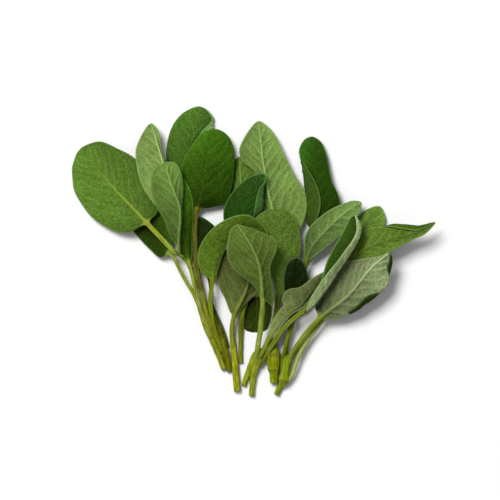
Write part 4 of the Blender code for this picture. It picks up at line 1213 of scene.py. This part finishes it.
            ((62.1, 10.7, 12), (61.9, 12, 10.6), (61.9, 5.5, 11.6), (67, 2.9, 10.8)),
            ((68.2, 9.9, 12.6), (68.2, 12.1, 11), (67.7, 7.1, 11.8), (72.4, 5.6, 11)),
            ((74, 9.4, 12.3), (74.5, 11.4, 11), (73.6, 8.8, 11.6), (77.2, 7.9, 11)),
        ),
        tip=(81.5, 12.8, 10.6),
        rib=2,
        midrib=0.1,
        net=1.0,
        rim=0.61,
        light=(-0.05, 0.24, 0.12),
    ),
    LeafPlan(
        name="leaf_big_right",
        shows=Side.UNDER,
        # Its near-black upper green, seen where the margin curls over, is the upper side's darker green
        # with painted shade of the curl.
        greens=Palette(upper=(0.008, 0.017, 0.002), under=(0.106, 0.132, 0.056)),
        stalk_green=(0.132, 0.171, 0.014),
        radius=1.15,
        stalk=(
            (13.7, -53.4, 2.6), (15.8, -49.4, 3.4), (18, -44.9, 4.6), (20.9, -40.6, 5.6),
            (24.1, -36.3, 6.4), (27.2, -32.7, 7), (29.9, -30, 7.6),
        ),
        rows=(
            ((27.4, -25.1, 7.2), (32.4, -27.8, 8.2), (34.9, -29.8, 7.4), (35.8, -30.5, 7)),
            ((28.1, -18.8, 7.8), (35.8, -25.2, 9.2), (39.4, -29, 7.8), (40.3, -29.3, 7.6)),
            ((32.6, -12.5, 8.4), (39.8, -22.2, 10.4), (43.6, -28, 8.5), (42.9, -26.9, 9.6)),
            ((38.5, -6.9, 9.2), (43.9, -18.3, 11.6), (48.4, -24.8, 9), (47, -23.6, 10.4)),
            ((44.3, -4.2, 9.8), (47.7, -13.6, 12.6), (53.2, -21.6, 9.7), (51, -19.9, 11)),
            ((49.7, -3.3, 10.4), (51.1, -9.3, 13), (57.2, -17.7, 10.3), (58.3, -17.3, 10.2)),
            ((53.8, -2.7, 11), (54.2, -6, 13), (60.2, -11.7, 10.8), (60.9, -12.2, 10.6)),
            ((57.2, -2, 11.4), (57.2, -3.7, 12.6), (61.6, -6.6, 11), (59.5, -7.5, 12.2)),
            ((59.3, -1.1, 11.6), (59.4, -1.9, 12.2), (61.9, -2.8, 11.2), (60.7, -3.6, 12.2)),
        ),
        tip=(60.8, -0.6, 11.6),
        midrib=0.95,
        net=0.6,
        rim=0.58,
        light=(0.60, 0.36, 0.00),
    ),
)

STEMS: tuple[StemPlan, ...] = (
    StemPlan(
        name="stem_left_long",
        route=(
            (-13.2, -53.1, 1.1, 1.31), (-15.3, -47.1, 1.25, 1.5), (-17.7, -41.3, 1.45, 1.68),
            (-20.6, -35.4, 1.7, 1.55), (-22.8, -29.6, 2.3, 1.26), (-24.4, -24.6, 2.9, 1.15),
            (-27, -18.8, 3.6, 0.95), (-30.4, -13.4, 4.5, 0.77), (-33.3, -8, 5.6, 0.68),
            (-34.9, -3.8, 6.2, 0.64),
        ),
        green=(0.135, 0.150, 0.006),
    ),
    StemPlan(
        name="stem_left_short",
        route=(
            (-10.8, -54.1, 1, 1.23), (-11.9, -48, 1.2, 1.49), (-13.7, -42.2, 1.5, 1.82),
            (-15.6, -37.2, 1.8, 1.89), (-17.1, -33.4, 2.4, 1.69), (-18.1, -29.6, 2.9, 1.38),
            (-18.9, -26, 3.2, 0.9),
        ),
        joints=(-36.56,),
        green=(0.083, 0.090, 0.002),
    ),
    StemPlan(
        name="stem_middle_front",
        route=(
            (-7.3, -62.9, 1.4, 1.54), (-7.8, -57, 1.4, 1.54), (-8.2, -50.7, 1.4, 1.54),
            (-9, -44.4, 1.55, 1.49), (-9.5, -38.8, 2.2, 1.32),
        ),
        green=(0.193, 0.204, 0.005),
    ),
    StemPlan(
        name="stem_middle_back",
        route=(
            (-5.7, -50.1, 1, 0.99), (-5.8, -44.4, 1.1, 0.99), (-5.8, -36.8, 1.6, 1.1),
            (-5.3, -30, 2.3, 1.16), (-3.8, -23.7, 3, 1.16), (-2.5, -18.8, 3.6, 1.1),
            (-1.9, -16.3, 4, 1.04),
        ),
        green=(0.086, 0.110, 0.002),
    ),
    StemPlan(
        name="stem_fork_side",
        route=(
            (-4.6, -60.4, 1.1, 1.26), (-3.5, -57.4, 1.1, 1.26), (-2.2, -54.2, 1.3, 1.38),
            (-0.9, -51, 1.7, 1.61), (0.4, -47.8, 2.3, 1.72), (1.8, -44.4, 3, 1.38),
        ),
        green=(0.150, 0.185, 0.006),
    ),
    StemPlan(
        name="stem_fork",
        route=(
            (-0.9, -65, 1.3, 1.23), (-0.5, -59.7, 1.3, 1.29), (0.1, -54.8, 1.6, 1.57),
            (1.3, -50.3, 2.3, 2.18), (2.8, -46.5, 3, 2.46), (4, -43.5, 3.6, 2.02),
        ),
        green=(0.166, 0.198, 0.010),
    ),
    StemPlan(
        name="stem_back",
        route=(
            (9.1, -59.1, 1.8, 1.78), (9.1, -54.3, 2.2, 2.1), (8.9, -49.8, 2.8, 3.1),
            (8.7, -45.8, 2.7, 2.99), (8.5, -39.9, 2.2, 1.99), (9, -34.5, 2.3, 1.58),
            (9.9, -29.6, 2.5, 1.37),
        ),
        joints=(-46.24, -52.99),
        green=(0.139, 0.166, 0.002),
    ),
    StemPlan(
        name="stem_right",
        route=(
            (10.3, -64.5, 1.3, 1.19), (11.6, -61.4, 1.35, 1.3), (13.4, -58.4, 2.1, 2.11),
            (14.2, -53.9, 2.3, 2.21), (15, -49.4, 2.7, 2.43), (16.1, -46.5, 3.1, 2.05),
        ),
        joints=(-57.94,),
        green=(0.114, 0.161, 0.002),
    ),
)


@dataclass(frozen=True)
class BladeSizes:
    """How a leaf's skins lie on its middle surface, in millimetres.

    Args:
        thickness: the blade's thickness.
        margin: width of the band over which the margin is rounded.
        rim: half the thickness left at the very margin.
        rib_height: height of the midrib at the blade's foot, in stalk radii.
        rib_at_tip: share of that height left at the tip.
        rib_breadth: half-width of the midrib's rounded back, in stalk radii; it tapers too.
        rib_limit: greatest height of the midrib, as a share of the blade's half-width there.
        groove: depth of the groove over the midrib on the upper side.
        groove_gain: how much deeper the groove is where the midrib shows clearly.
        groove_fade: share of the groove's depth lost at the tip.
        groove_width: half-width of the groove.
        relief_band: distances from the margin between which the relief sets in.
        rib_band: distances from the midrib between which the relief sets in.
        rim_band: distances from the margin between which its pale colour fades.
        puff: how far each half of a blade bulges, as a share of its width.
        hollow: the part of that bulge that an underside keeps whatever its midrib.
        edge_crowding: how much closer the faces stand beside the midrib and the margin.
        under_relief: the part of the relief that an underside keeps whatever its midrib.
        under_gain: how fast an underside's relief grows with its midrib.
        stalk_flatness: the stalk's height over its middle on the upper side, in radii.
        channel: depth of the stalk's channel on the upper side, in radii.
        channel_width: half-width of that channel, in radii.
        columns: faces between the midrib and one margin.
        step: distance between sections along the blade.
        stalk_step: distance between sections along the stalk.
        crowding: above 1 the sections stand closer together towards the tip.
        fold_share: where a fold lies on the way from the midrib to the folded margin.
        fold_roundness: the pull of the curve through a fold.
        tip_gap: how far short of the tip the last section stops, in points of a rail.
        readings: points at which the midrib's length is read.
    """

    thickness: float = 0.5
    margin: float = 0.35
    rim: float = 0.07
    rib_height: float = 0.75
    rib_at_tip: float = 0.22
    rib_breadth: float = 0.8
    rib_limit: float = 0.35
    groove: float = 0.06
    groove_gain: float = 0.2
    groove_fade: float = 0.8
    groove_width: float = 0.5
    relief_band: tuple[float, float] = (0.1, 1.2)
    rib_band: tuple[float, float] = (0.3, 1.4)
    rim_band: tuple[float, float] = (0.2, 0.8)
    puff: float = 0.05
    hollow: float = 0.3
    edge_crowding: float = 0.35
    under_relief: float = 0.2
    under_gain: float = 1.75
    stalk_flatness: float = 0.85
    channel: float = 0.3
    channel_width: float = 0.42
    columns: int = 26
    step: float = 0.52
    stalk_step: float = 0.9
    crowding: float = 1.35
    fold_share: float = 0.6
    fold_roundness: float = 0.9
    tip_gap: float = 0.012
    readings: int = 1500


@dataclass(frozen=True)
class RibLine:
    """The coloured line of the midrib on one side of a leaf.

    Args:
        at_tip: half-width at the tip, in millimetres.
        gain: how much wider the line is at the blade's foot, in stalk radii.
        power: how fast that gain goes; above 1 it goes sooner.
        fades: shares of the blade's length between which the line fades.
    """

    at_tip: float
    gain: float
    power: int
    fades: tuple[float, float]


RIB_LINES = {
    Side.UPPER: RibLine(at_tip=0.16, gain=0.35, power=2, fades=(0.3, 0.75)),
    Side.UNDER: RibLine(at_tip=0.2, gain=0.6, power=3, fades=(0.7, 1.1)),
}


@dataclass(frozen=True)
class FieldSizes:
    """How the fields that the finishes read are laid over a leaf.

    Args:
        rib_fade: share of the midrib's colour lost at the tip.
        sheath_end: distance over which each end of a sheath fades, in millimetres.
        stalk_band: shares of the way onto the blade over which the stalk's colour fades.
        stalk_on_rib: how far the stalk's colour runs onto a clearly showing midrib.
        darkest: the lowest that the painted light and shade goes.
        lightest: the highest that the painted light and shade goes.
        narrowest: the least half-width that the painted light and shade is spread over, in millimetres.
    """

    rib_fade: float = 0.85
    sheath_end: float = 2
    stalk_band: tuple[float, float] = (0.05, 0.75)
    stalk_on_rib: float = 0.75
    darkest: float = -0.8
    lightest: float = 1.5
    narrowest: float = 0.5


FIELDS = FieldSizes()


@dataclass
class Sheet:
    """The middle surface of a leaf, section by section.

    Args:
        points: the surface's points; the first axis runs to the tip, the second one
            from the left margin to the right one.
        across: distance from the midrib, negative on the left.
        along: distance from the blade's foot, negative on the stalk.
        edge: distance to the nearer margin.
        blend: 0 on the stalk, 1 on the blade.
        share: 0 at the blade's foot, 1 at the tip.
    """

    points: np.ndarray
    across: np.ndarray
    along: np.ndarray
    edge: np.ndarray
    blend: np.ndarray
    share: np.ndarray


class SageLeaf:
    """A leaf with its stalk: a closed slab drawn out over the leaf's middle surface."""

    sizes = BladeSizes()

    def __init__(self, plan: LeafPlan, seed: int) -> None:
        """Takes the plan and a seed for the pattern of pebbles and ripples."""
        self.plan = plan
        self.seed = seed
        self.foot = len(plan.stalk) - 1
        self.end = len(plan.stalk) + len(plan.rows)

    def rails(self, places: np.ndarray) -> np.ndarray:
        """The curves that run along the leaf, from its left margin to its right one."""
        plan = self.plan
        stalk, rows = np.array(plan.stalk), np.array(plan.rows)
        tip = np.array(plan.tip)
        sideways = unit(np.cross((0.0, 0.0, 1.0), np.gradient(stalk, axis=0)))
        count = rows.shape[1]
        curves = []
        for k in range(count):
            if k < plan.rib:
                offset = plan.radius * (plan.rib - k) / plan.rib
            else:
                offset = -plan.radius * (k - plan.rib) / (count - 1 - plan.rib)
            points = np.vstack([stalk + offset * sideways, rows[:, k], tip])
            if k == plan.rib:
                after = 2 * tip - rows[-1, k]
            else:
                after = rows[-1, -1] if k < plan.rib else rows[-1, 0]
            curves.append(smooth_rail(points, 2 * points[0] - points[1], after, places))
        return np.array(curves)

    def places(self) -> np.ndarray:
        """Where the leaf's sections lie, counted in points along its rails."""
        sizes = self.sizes
        fine = np.linspace(0, self.end - sizes.tip_gap, sizes.readings)
        length = path_length(self.rails(fine)[self.plan.rib])
        foot = np.interp(self.foot, fine, length)
        stalk = np.linspace(0, foot, max(round(foot / sizes.stalk_step), 4), endpoint=False)
        spread = np.linspace(0, 1, round((length[-1] - foot) / sizes.step))
        blade = foot + (length[-1] - foot) * (1 - (1 - spread) ** sizes.crowding)
        return np.interp(np.concatenate([stalk, blade]), length, fine)

    def half(
        self,
        rib: np.ndarray,
        side: np.ndarray,
        normal: np.ndarray,
        shares: np.ndarray,
        puff: float,
    ) -> np.ndarray:
        """Points of half a section, at shares of the way from the midrib to the margin.

        Args:
            rib: the midrib's point.
            side: the margin's point, or the fold's point and the folded edge's.
            normal: the blade's direction upward there.
            shares: shares of the way.
            puff: the bulge of the half, as a share of its width.

        Returns:
            One point for each share.
        """
        shares = shares[:, None]
        if len(side) == 1:
            reach = side[0] - rib
            bulge = puff * np.linalg.norm(reach) * 4 * shares * (1 - shares)
            return rib + reach * shares + bulge * normal
        fold, edge = side
        first, second = np.linalg.norm(fold - rib), np.linalg.norm(edge - fold)
        turn = unit((fold - rib) / max(first, 1e-6) + (edge - fold) / max(second, 1e-6))
        pull = turn * min(first, second) * self.sizes.fold_roundness
        at = self.sizes.fold_share
        inner = hermite(np.clip(shares / at, 0, 1), rib, fold, fold - rib, pull)
        outer = hermite(np.clip((shares - at) / (1 - at), 0, 1), fold, edge, pull, edge - fold)
        return np.where(shares <= at, inner, outer)

    def sheet(self, places: np.ndarray) -> Sheet:
        """Lays the leaf's middle surface through its sections."""
        rails, rib = self.rails(places), self.plan.rib
        sides = (rails[:rib][::-1], rails[rib + 1 :])
        forward = unit(np.gradient(rails[rib], axis=0))
        normals = unit(np.cross(unit(rails[-1] - rails[0]), forward))
        blend = smoothstep(places - self.foot, 0.0, 1.0)
        # An underside bulges away from the eye, the more so where its midrib stands out.
        hollow = min(1.0, self.sizes.hollow + self.plan.midrib)
        puff = self.sizes.puff * (1 if self.plan.shows is Side.UPPER else -hollow)
        t = np.linspace(0, 1, self.sizes.columns + 1)
        on_stalk = np.sin(t * math.pi / 2)
        on_blade = t - self.sizes.edge_crowding * np.sin(math.tau * t) / math.tau
        points = []
        for i in range(len(places)):
            shares = on_stalk * (1 - blend[i]) + on_blade * blend[i]
            left, right = (
                self.half(rails[rib, i], side[:, i], normals[i], shares, puff * blend[i])
                for side in sides
            )
            points.append(np.vstack([left[:0:-1], right]))
        surface = calm(np.array(points))
        middle = self.sizes.columns
        steps = np.linalg.norm(np.diff(surface, axis=1), axis=2)
        across = np.concatenate([np.zeros((len(places), 1)), np.cumsum(steps, axis=1)], axis=1)
        edge = np.minimum(across, across[:, -1:] - across)
        across = across - across[:, middle : middle + 1]
        along = path_length(surface[:, middle])
        along -= np.interp(self.foot, places, along)
        share = np.clip(along / along[-1], 0, 1)
        return Sheet(surface, across, along[:, None] + 0 * across, edge, blend, share)

    def veins(self, sheet: Sheet) -> tuple[np.ndarray, np.ndarray]:
        """The side veins, and the quilting between them.

        Args:
            sheet: the leaf's middle surface.

        Returns:
            The closeness to a side vein and the height of the quilting, both 0 to 1.
        """
        reach = np.abs(sheet.across)
        run = sheet.along - RELIEF.vein_slant * reach - RELIEF.vein_curve * reach**2
        turns = run / RELIEF.vein_spacing + np.where(sheet.across > 0, RELIEF.vein_stagger, 0.0)
        stray = ripples(sheet.across, sheet.along, RELIEF.wander_length, self.seed + WANDER_SEED)
        turns += RELIEF.vein_wander * stray
        phase = turns - np.floor(turns) - 0.5
        steepness = np.hypot(1, RELIEF.vein_slant + 2 * RELIEF.vein_curve * reach)
        away = np.abs(phase) * RELIEF.vein_spacing / steepness
        width = np.maximum(reach[:, :1], reach[:, -1:])
        fade = (
            smoothstep(sheet.edge, *RELIEF.vein_ends)
            * smoothstep(run, 0.0, RELIEF.vein_start)
            * (1 - RELIEF.vein_thinning * reach / np.maximum(width, 1))
            * sheet.blend[:, None]
        )
        return fade * np.exp(-((away / RELIEF.vein_width) ** 2)), fade * np.sin(phase * math.pi) ** 2

    def skins(self, sheet: Sheet) -> tuple[np.ndarray, np.ndarray, dict[str, np.ndarray]]:
        """Gives the leaf its thickness and its relief.

        Args:
            sheet: the leaf's middle surface.

        Returns:
            The upward skin's points, the downward skin's, and the fields for the finishes.
        """
        sizes, plan, blend = self.sizes, self.plan, sheet.blend[:, None]
        upward = 1.0 if plan.shows is Side.UPPER else -1.0
        points = self.toothed(sheet)
        normals = unit(np.cross(np.gradient(points, axis=1), np.gradient(points, axis=0)))
        vein, quilt = self.veins(sheet)
        inside = smoothstep(sheet.edge, *sizes.relief_band) * blend
        off_rib = smoothstep(np.abs(sheet.across), *sizes.rib_band)
        pebble = pebbles(sheet.across, sheet.along, RELIEF.pebble_size, self.seed)
        slow = ripples(sheet.across, sheet.along, RELIEF.ripple_length, self.seed + RIPPLE_SEED)
        bulge = inside * off_rib * (RELIEF.pebble_height * pebble + RELIEF.quilting * quilt)
        bulge -= RELIEF.vein_depth * vein
        under_relief = min(1.0, sizes.under_relief + sizes.under_gain * plan.midrib)
        relief = 1.0 if upward > 0 else under_relief
        bulge *= relief
        off_middle = smoothstep(np.abs(sheet.across), *RELIEF.ripple_band)
        bulge += RELIEF.ripple * slow * blend * off_middle

        rib_size = plan.radius * (1 - (1 - sizes.rib_at_tip) * sheet.share[:, None])
        ridge = np.exp(-((sheet.across / (sizes.rib_breadth * rib_size)) ** 2))
        half = 0.5 * sizes.thickness
        near = np.clip(sheet.edge / sizes.margin, 0, 1)
        skin = sizes.rim + (half - sizes.rim) * np.sqrt(1 - (1 - near) ** 2)
        tube = plan.radius * np.sqrt(np.clip(1 - (sheet.across / plan.radius) ** 2, 0, 1))
        width = sheet.edge + np.abs(sheet.across)
        lift = np.minimum(sizes.rib_height * rib_size, sizes.rib_limit * width) * ridge
        lift *= plan.midrib if upward < 0 else 1.0
        channel = np.exp(-((sheet.across / (sizes.channel_width * plan.radius)) ** 2))
        channel = sizes.channel * plan.radius * channel
        depth = sizes.groove + sizes.groove_gain * plan.midrib
        depth = depth * (1 - sizes.groove_fade * sheet.share[:, None])
        groove = depth * np.exp(-((sheet.across / sizes.groove_width) ** 2))
        upper = (sizes.stalk_flatness * tube - channel) * (1 - blend) + (skin - groove) * blend
        under = tube * (1 - blend) + (skin + lift + relief * RELIEF.ridge * vein * off_rib) * blend

        up, down = (upper, under) if upward > 0 else (under, upper)
        top = points + normals * (up + upward * bulge)[..., None]
        bottom = points - normals * (down - upward * bulge)[..., None]
        fields = {
            "vein": vein,
            "rib": self.rib_share(sheet),
            "rim": blend * (1 - smoothstep(sheet.edge, *sizes.rim_band)),
            "sheath": self.sheath_share(sheet),
            "stalk": self.stalk_share(sheet),
            # painted light and shade over the blade
            "painted_shading": self.painted_shading(sheet),
        }
        return top, bottom, fields

    def rib_width(self, sheet: Sheet) -> np.ndarray:
        """Half-width of the midrib, which narrows from the stalk's to a line at the tip."""
        line = RIB_LINES[self.plan.shows]
        return line.at_tip + line.gain * self.plan.radius * (1 - sheet.share[:, None]) ** line.power

    def rib_share(self, sheet: Sheet) -> np.ndarray:
        """How far the midrib's colour shows; it fades out towards the tip, sooner on the upper side."""
        rib = np.exp(-((sheet.across / self.rib_width(sheet)) ** 2)) * sheet.blend[:, None]
        fade = smoothstep(sheet.share, *RIB_LINES[self.plan.shows].fades)[:, None]
        return rib * (1 - FIELDS.rib_fade * fade)

    def sheath_share(self, sheet: Sheet) -> np.ndarray:
        """How far the brown sheath, if the stalk has one, covers the stalk."""
        start, end = self.plan.sheath
        y = sheet.points[:, :1, 1]
        reach = smoothstep(y, start, start + FIELDS.sheath_end)
        reach = reach * (1 - smoothstep(y, end - FIELDS.sheath_end, end))
        return reach * (1 - sheet.blend[:, None]) + 0 * sheet.across

    def stalk_share(self, sheet: Sheet) -> np.ndarray:
        """How far the stalk's own colour reaches: all of the stalk and the midrib's foot."""
        stalk = 1 - smoothstep(sheet.blend, *FIELDS.stalk_band)[:, None]
        rib = np.exp(-((sheet.across / self.rib_width(sheet)) ** 2))
        reach = FIELDS.stalk_on_rib * self.plan.midrib * (1 - sheet.share[:, None]) ** 2
        return np.maximum(stalk, rib * reach)

    def painted_shading(self, sheet: Sheet) -> np.ndarray:
        """Painted light and shade: how much lighter or darker the blade is than its green, place by
        place.
        """
        to_tip, to_right, to_margins = self.plan.light
        width = np.where(sheet.across > 0, sheet.across[:, -1:], -sheet.across[:, :1])
        side = sheet.across / np.maximum(width, FIELDS.narrowest)
        painted_shading = to_tip * (2 * sheet.share[:, None] - 1) + to_right * side
        painted_shading += to_margins * (2 * np.abs(side) - 1)
        return np.clip(painted_shading, FIELDS.darkest, FIELDS.lightest) * sheet.blend[:, None]

    def toothed(self, sheet: Sheet) -> np.ndarray:
        """Draws the blade's margins out into small rounded teeth."""
        points = sheet.points.copy()
        middle = self.sizes.columns
        halves = ((slice(None, middle), 0, 1), (slice(middle + 1, None), -1, -2))
        for side, nearest, inner in halves:
            outward = unit(sheet.points[:, nearest] - sheet.points[:, inner])
            along = path_length(sheet.points[:, nearest])
            wave = 0.5 - 0.5 * np.cos(math.tau * along / RELIEF.tooth_length)
            reach = np.exp(-((sheet.edge[:, side] / RELIEF.tooth_reach) ** 2)) * sheet.blend[:, None]
            points[:, side] += RELIEF.tooth_height * (wave[:, None] * reach)[..., None] * outward[:, None]
        return points

    def build(self) -> bpy.types.Object:
        """Makes the slab and lays it over the leaf's skins."""
        places = self.places()
        sheet = self.sheet(places)
        columns, rows = 2 * self.sizes.columns, len(places) - 1
        deselect()
        bpy.ops.mesh.primitive_grid_add(x_subdivisions=columns, y_subdivisions=rows, size=1)
        self.piece = new_piece(self.plan.name + "_look")
        bpy.ops.object.mode_set(mode="EDIT")
        bpy.ops.mesh.select_all(action="SELECT")
        bpy.ops.mesh.extrude_region_move(TRANSFORM_OT_translate={"value": (0, 0, -SLAB)})
        bpy.ops.object.mode_set(mode="OBJECT")
        mesh = self.piece.data
        laid = vertex_places(mesh)
        column = np.rint((laid[:, 0] + 0.5) * columns).astype(int)
        row = np.rint((laid[:, 1] + 0.5) * rows).astype(int)
        is_top = laid[:, 2] > -SLAB / 2
        top, bottom, fields = self.skins(sheet)
        put_vertices(mesh, np.where(is_top[:, None], top[row, column], bottom[row, column]))
        shift = np.full_like(sheet.along, LEAF_SHIFT * self.seed)
        flat = np.stack([sheet.across, sheet.along, shift], axis=2)
        put_field(mesh, "flat", flat[row, column])
        for name, values in fields.items():
            put_field(mesh, name, values[row, column])
        corners = np.empty(len(mesh.loops), np.int32)
        mesh.loops.foreach_get("vertex_index", corners)
        self.top_faces = is_top[corners.reshape(-1, 4)].all(axis=1)
        face_outward()
        return self.piece

    def dress(self) -> None:
        """Puts the upper finish on one skin and the underside's on the other."""
        plan = self.plan
        upper = UpperFinish(plan.greens.upper, plan.stalk_green, plan.midrib, plan.rim)
        under = UnderFinish(plan.greens.under, plan.stalk_green, plan.midrib, plan.net, plan.rim)
        self.piece.data.materials.append(upper.material(plan.name + "_upper"))
        self.piece.data.materials.append(under.material(plan.name + "_under"))
        is_upper = self.top_faces if plan.shows is Side.UPPER else ~self.top_faces
        numbers = np.where(is_upper, 0, 1).astype(np.int32)
        self.piece.data.polygons.foreach_set("material_index", numbers)
        self.piece.data.update()
        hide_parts(plan.name)
        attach(self.piece, "root")
        log.info("%s: %d faces", self.piece.name, len(self.piece.data.polygons))


@dataclass(frozen=True)
class StemSizes:
    """How a stem's skin lies round its centre line.

    Args:
        sides: faces round the stem.
        step: distance between sections, in millimetres.
        squareness: how far the four flat sides draw in, as a share of the half-width.
        rib_count: how many fine ribs run along the stem.
        ribs: height of the fine ribs, as a share of the half-width.
        twist: how far the sides and ribs turn about the stem, in radians.
        twist_length: length over which they turn and turn back, in millimetres.
        unevenness: height of the skin's swells, as a share of the half-width.
        long_swell: length of the slow swells, in millimetres.
        short_swell: length of the quick swells, in millimetres.
        swelling: how far a joint stands out, as a share of the half-width.
        joint_length: half-length of a joint, in millimetres.
        ring_colour: how far the brown of a ring covers the green, 0 to 1.
        taper: length over which the upper end closes, in millimetres.
        readings: points at which the route's length is read.
    """

    sides: int = 32
    step: float = 0.45
    squareness: float = 0.05
    rib_count: int = 9
    ribs: float = 0.03
    twist: float = 0.25
    twist_length: float = 25.0
    unevenness: float = 0.03
    long_swell: float = 6.0
    short_swell: float = 3.0
    swelling: float = 0.2
    joint_length: float = 1.0
    ring_colour: float = 0.7
    taper: float = 3.0
    readings: int = 800


class Stem:
    """A cut stem: a ball drawn out along the stem's route, cut flat at its lower end."""

    sizes = StemSizes()

    def __init__(self, plan: StemPlan, seed: int) -> None:
        """Takes the plan and a seed for the skin's unevenness."""
        self.plan = plan
        self.seed = seed

    def route(self) -> tuple[np.ndarray, np.ndarray]:
        """Evenly spaced points of the centre line with their half-widths, and their distances."""
        route = np.array(self.plan.route)
        before, after = 2 * route[0] - route[1], 2 * route[-1] - route[-2]
        places = np.linspace(0, len(route) - 1, self.sizes.readings)
        fine = smooth_rail(route, before, after, places)
        length = path_length(fine[:, :3])
        count = round(length[-1] / self.sizes.step)
        spread = np.linspace(0, length[-1], count)
        points = np.stack([np.interp(spread, length, fine[:, k]) for k in range(4)], axis=1)
        return points, spread

    def build(self) -> bpy.types.Object:
        """Draws the ball out along the route."""
        sizes = self.sizes
        points, spread = self.route()
        # The ball's pole and its first ring both stand at the first point: they make the cut face.
        shrink = np.concatenate([[0.0], np.ones(len(points))])
        points = np.vstack([points[:1], points])
        spread = np.concatenate([[0.0], spread])
        left = spread[-1] - spread
        shrink *= np.sqrt(np.clip(1 - (1 - np.clip(left / sizes.taper, 0, 1)) ** 2, 0, 1))
        deselect()
        rings = len(points) - 1
        bpy.ops.mesh.primitive_uv_sphere_add(segments=sizes.sides, ring_count=rings, radius=1)
        self.piece = new_piece(self.plan.name + "_look")
        mesh = self.piece.data
        ball = vertex_places(mesh)
        ring = np.rint(np.arccos(np.clip(-ball[:, 2], -1, 1)) * rings / math.pi).astype(int)
        angle = np.arctan2(ball[:, 1], ball[:, 0])
        forward = unit(np.gradient(points[:, :3], axis=0))
        sideways = unit(np.cross(forward, (0.0, 0.0, 1.0)))
        upward = np.cross(sideways, forward)
        swell = np.zeros(len(points))
        for y in self.plan.joints:
            at = spread[np.abs(points[:, 1] - y).argmin()]
            swell = np.maximum(swell, np.exp(-(((spread - at) / sizes.joint_length) ** 2)))
        turned = angle + sizes.twist * ripples(spread[ring], 0 * angle, sizes.twist_length, self.seed)
        shape = 1 - sizes.squareness * np.cos(4 * turned)
        shape = shape + sizes.ribs * np.sin(sizes.rib_count * turned + self.seed)
        for around, swell_length, shift in (
            (np.cos(angle), sizes.long_swell, LONG_SWELL_SEED),
            (np.sin(angle), sizes.short_swell, SHORT_SWELL_SEED),
        ):
            swelling = ripples(3 * around, spread[ring], swell_length, self.seed + shift)
            shape += sizes.unevenness * swelling
        radius = points[ring, 3] * shape * (1 + sizes.swelling * swell[ring]) * shrink[ring]
        outward = np.cos(angle)[:, None] * sideways[ring] + np.sin(angle)[:, None] * upward[ring]
        put_vertices(mesh, points[ring, :3] + radius[:, None] * outward)
        width = points[ring, 3]
        distance = spread[ring] + STEM_SHIFT * self.seed
        straight = np.stack([width * np.cos(angle), width * np.sin(angle), distance], axis=1)
        put_field(mesh, "straight", straight)
        put_field(mesh, "ring", np.clip(swell[ring] ** 4, 0, 1) * sizes.ring_colour)
        put_field(mesh, "cut", (ring == 0).astype(float))
        face_outward()
        return self.piece

    def dress(self) -> None:
        """Puts the skin on and ties the stem to the frame."""
        plan = self.plan
        self.piece.data.materials.append(StemFinish(plan.green).material(plan.name + "_skin"))
        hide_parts(plan.name)
        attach(self.piece, "root")
        log.info("%s: %d faces", self.piece.name, len(self.piece.data.polygons))


@dataclass(frozen=True)
class StudioSizes:
    """The surface, the camera and the lights, in metres.

    Args:
        floor: side of the plain surface.
        camera_height: height of the camera, which looks straight down.
        lens: focal length in millimetres, on a 36 mm wide sensor.
        centre: where the camera's axis meets the surface.
        key_from: direction in which the main light stands.
        key_distance: distance to the main light.
        key_size: side of the main light.
        key_watts: its power.
        sky: strength of the soft light from all round.
        sky_colour: colour of that light.
        clip_end: how far the camera sees.
    """

    floor: float = 6.0
    camera_height: float = 3.0
    lens: float = 480.0
    centre: tuple[float, float] = (-0.001575, 0.0005625)
    key_from: Point = (-0.62, 0.78, 1.55)
    key_distance: float = 4.0
    key_size: float = 1.6
    key_watts: float = 208.0
    sky: float = 0.42
    sky_colour: tuple[float, ...] = (1.0, 0.99, 1.0, 1.0)
    clip_end: float = 50.0


class Studio:
    """A plain pale surface, a soft main light from the upper left, and the camera."""

    sizes = StudioSizes()

    def build(self) -> None:
        """Sets everything up round the bunch."""
        self.lay_floor()
        self.light_up()
        self.place_camera()

    def lay_floor(self) -> None:
        """Lays the plain surface."""
        deselect()
        bpy.ops.mesh.primitive_plane_add(size=self.sizes.floor)
        floor = new_piece("surface")
        floor.data.materials.append(FloorFinish().material("surface"))

    def light_up(self) -> None:
        """Adds the main light and the light from all round."""
        sizes = self.sizes
        towards = Vector(sizes.key_from).normalized()
        bpy.ops.object.light_add(type="AREA", location=towards * sizes.key_distance)
        key = bpy.context.object
        key.name = "key_light"
        key.rotation_euler = towards.to_track_quat("Z", "Y").to_euler()
        key.data.size = sizes.key_size
        key.data.energy = sizes.key_watts
        world = bpy.data.worlds.new("studio")
        world.use_nodes = True
        background = world.node_tree.nodes["Background"]
        background.inputs["Color"].default_value = sizes.sky_colour
        background.inputs["Strength"].default_value = sizes.sky
        bpy.context.scene.world = world

    def place_camera(self) -> None:
        """Hangs the camera over the bunch, looking straight down."""
        sizes = self.sizes
        bpy.ops.object.camera_add(location=(*sizes.centre, sizes.camera_height))
        camera = bpy.context.object
        camera.rotation_euler = (0.0, 0.0, 0.0)
        camera.data.lens = sizes.lens
        camera.data.clip_end = sizes.clip_end
        bpy.context.scene.camera = camera
        bpy.context.scene.view_settings.view_transform = "Standard"


class SageBunch:
    """The whole bunch: stems first, then the leaves, roughly from left to right."""

    def build(self) -> None:
        """Builds and dresses every stem and leaf."""
        for number, plan in enumerate(STEMS):
            stem = Stem(plan, seed=number + 1)
            stem.build()
            stem.dress()
        for number, plan in enumerate(LEAVES):
            leaf = SageLeaf(plan, seed=number + 11)
            leaf.build()
            leaf.dress()


def main() -> None:
    """Builds the bunch and the studio."""
    logging.basicConfig(level=logging.INFO, format="%(name)s: %(message)s")
    SageBunch().build()
    Studio().build()


if __name__ == "__main__":
    main()
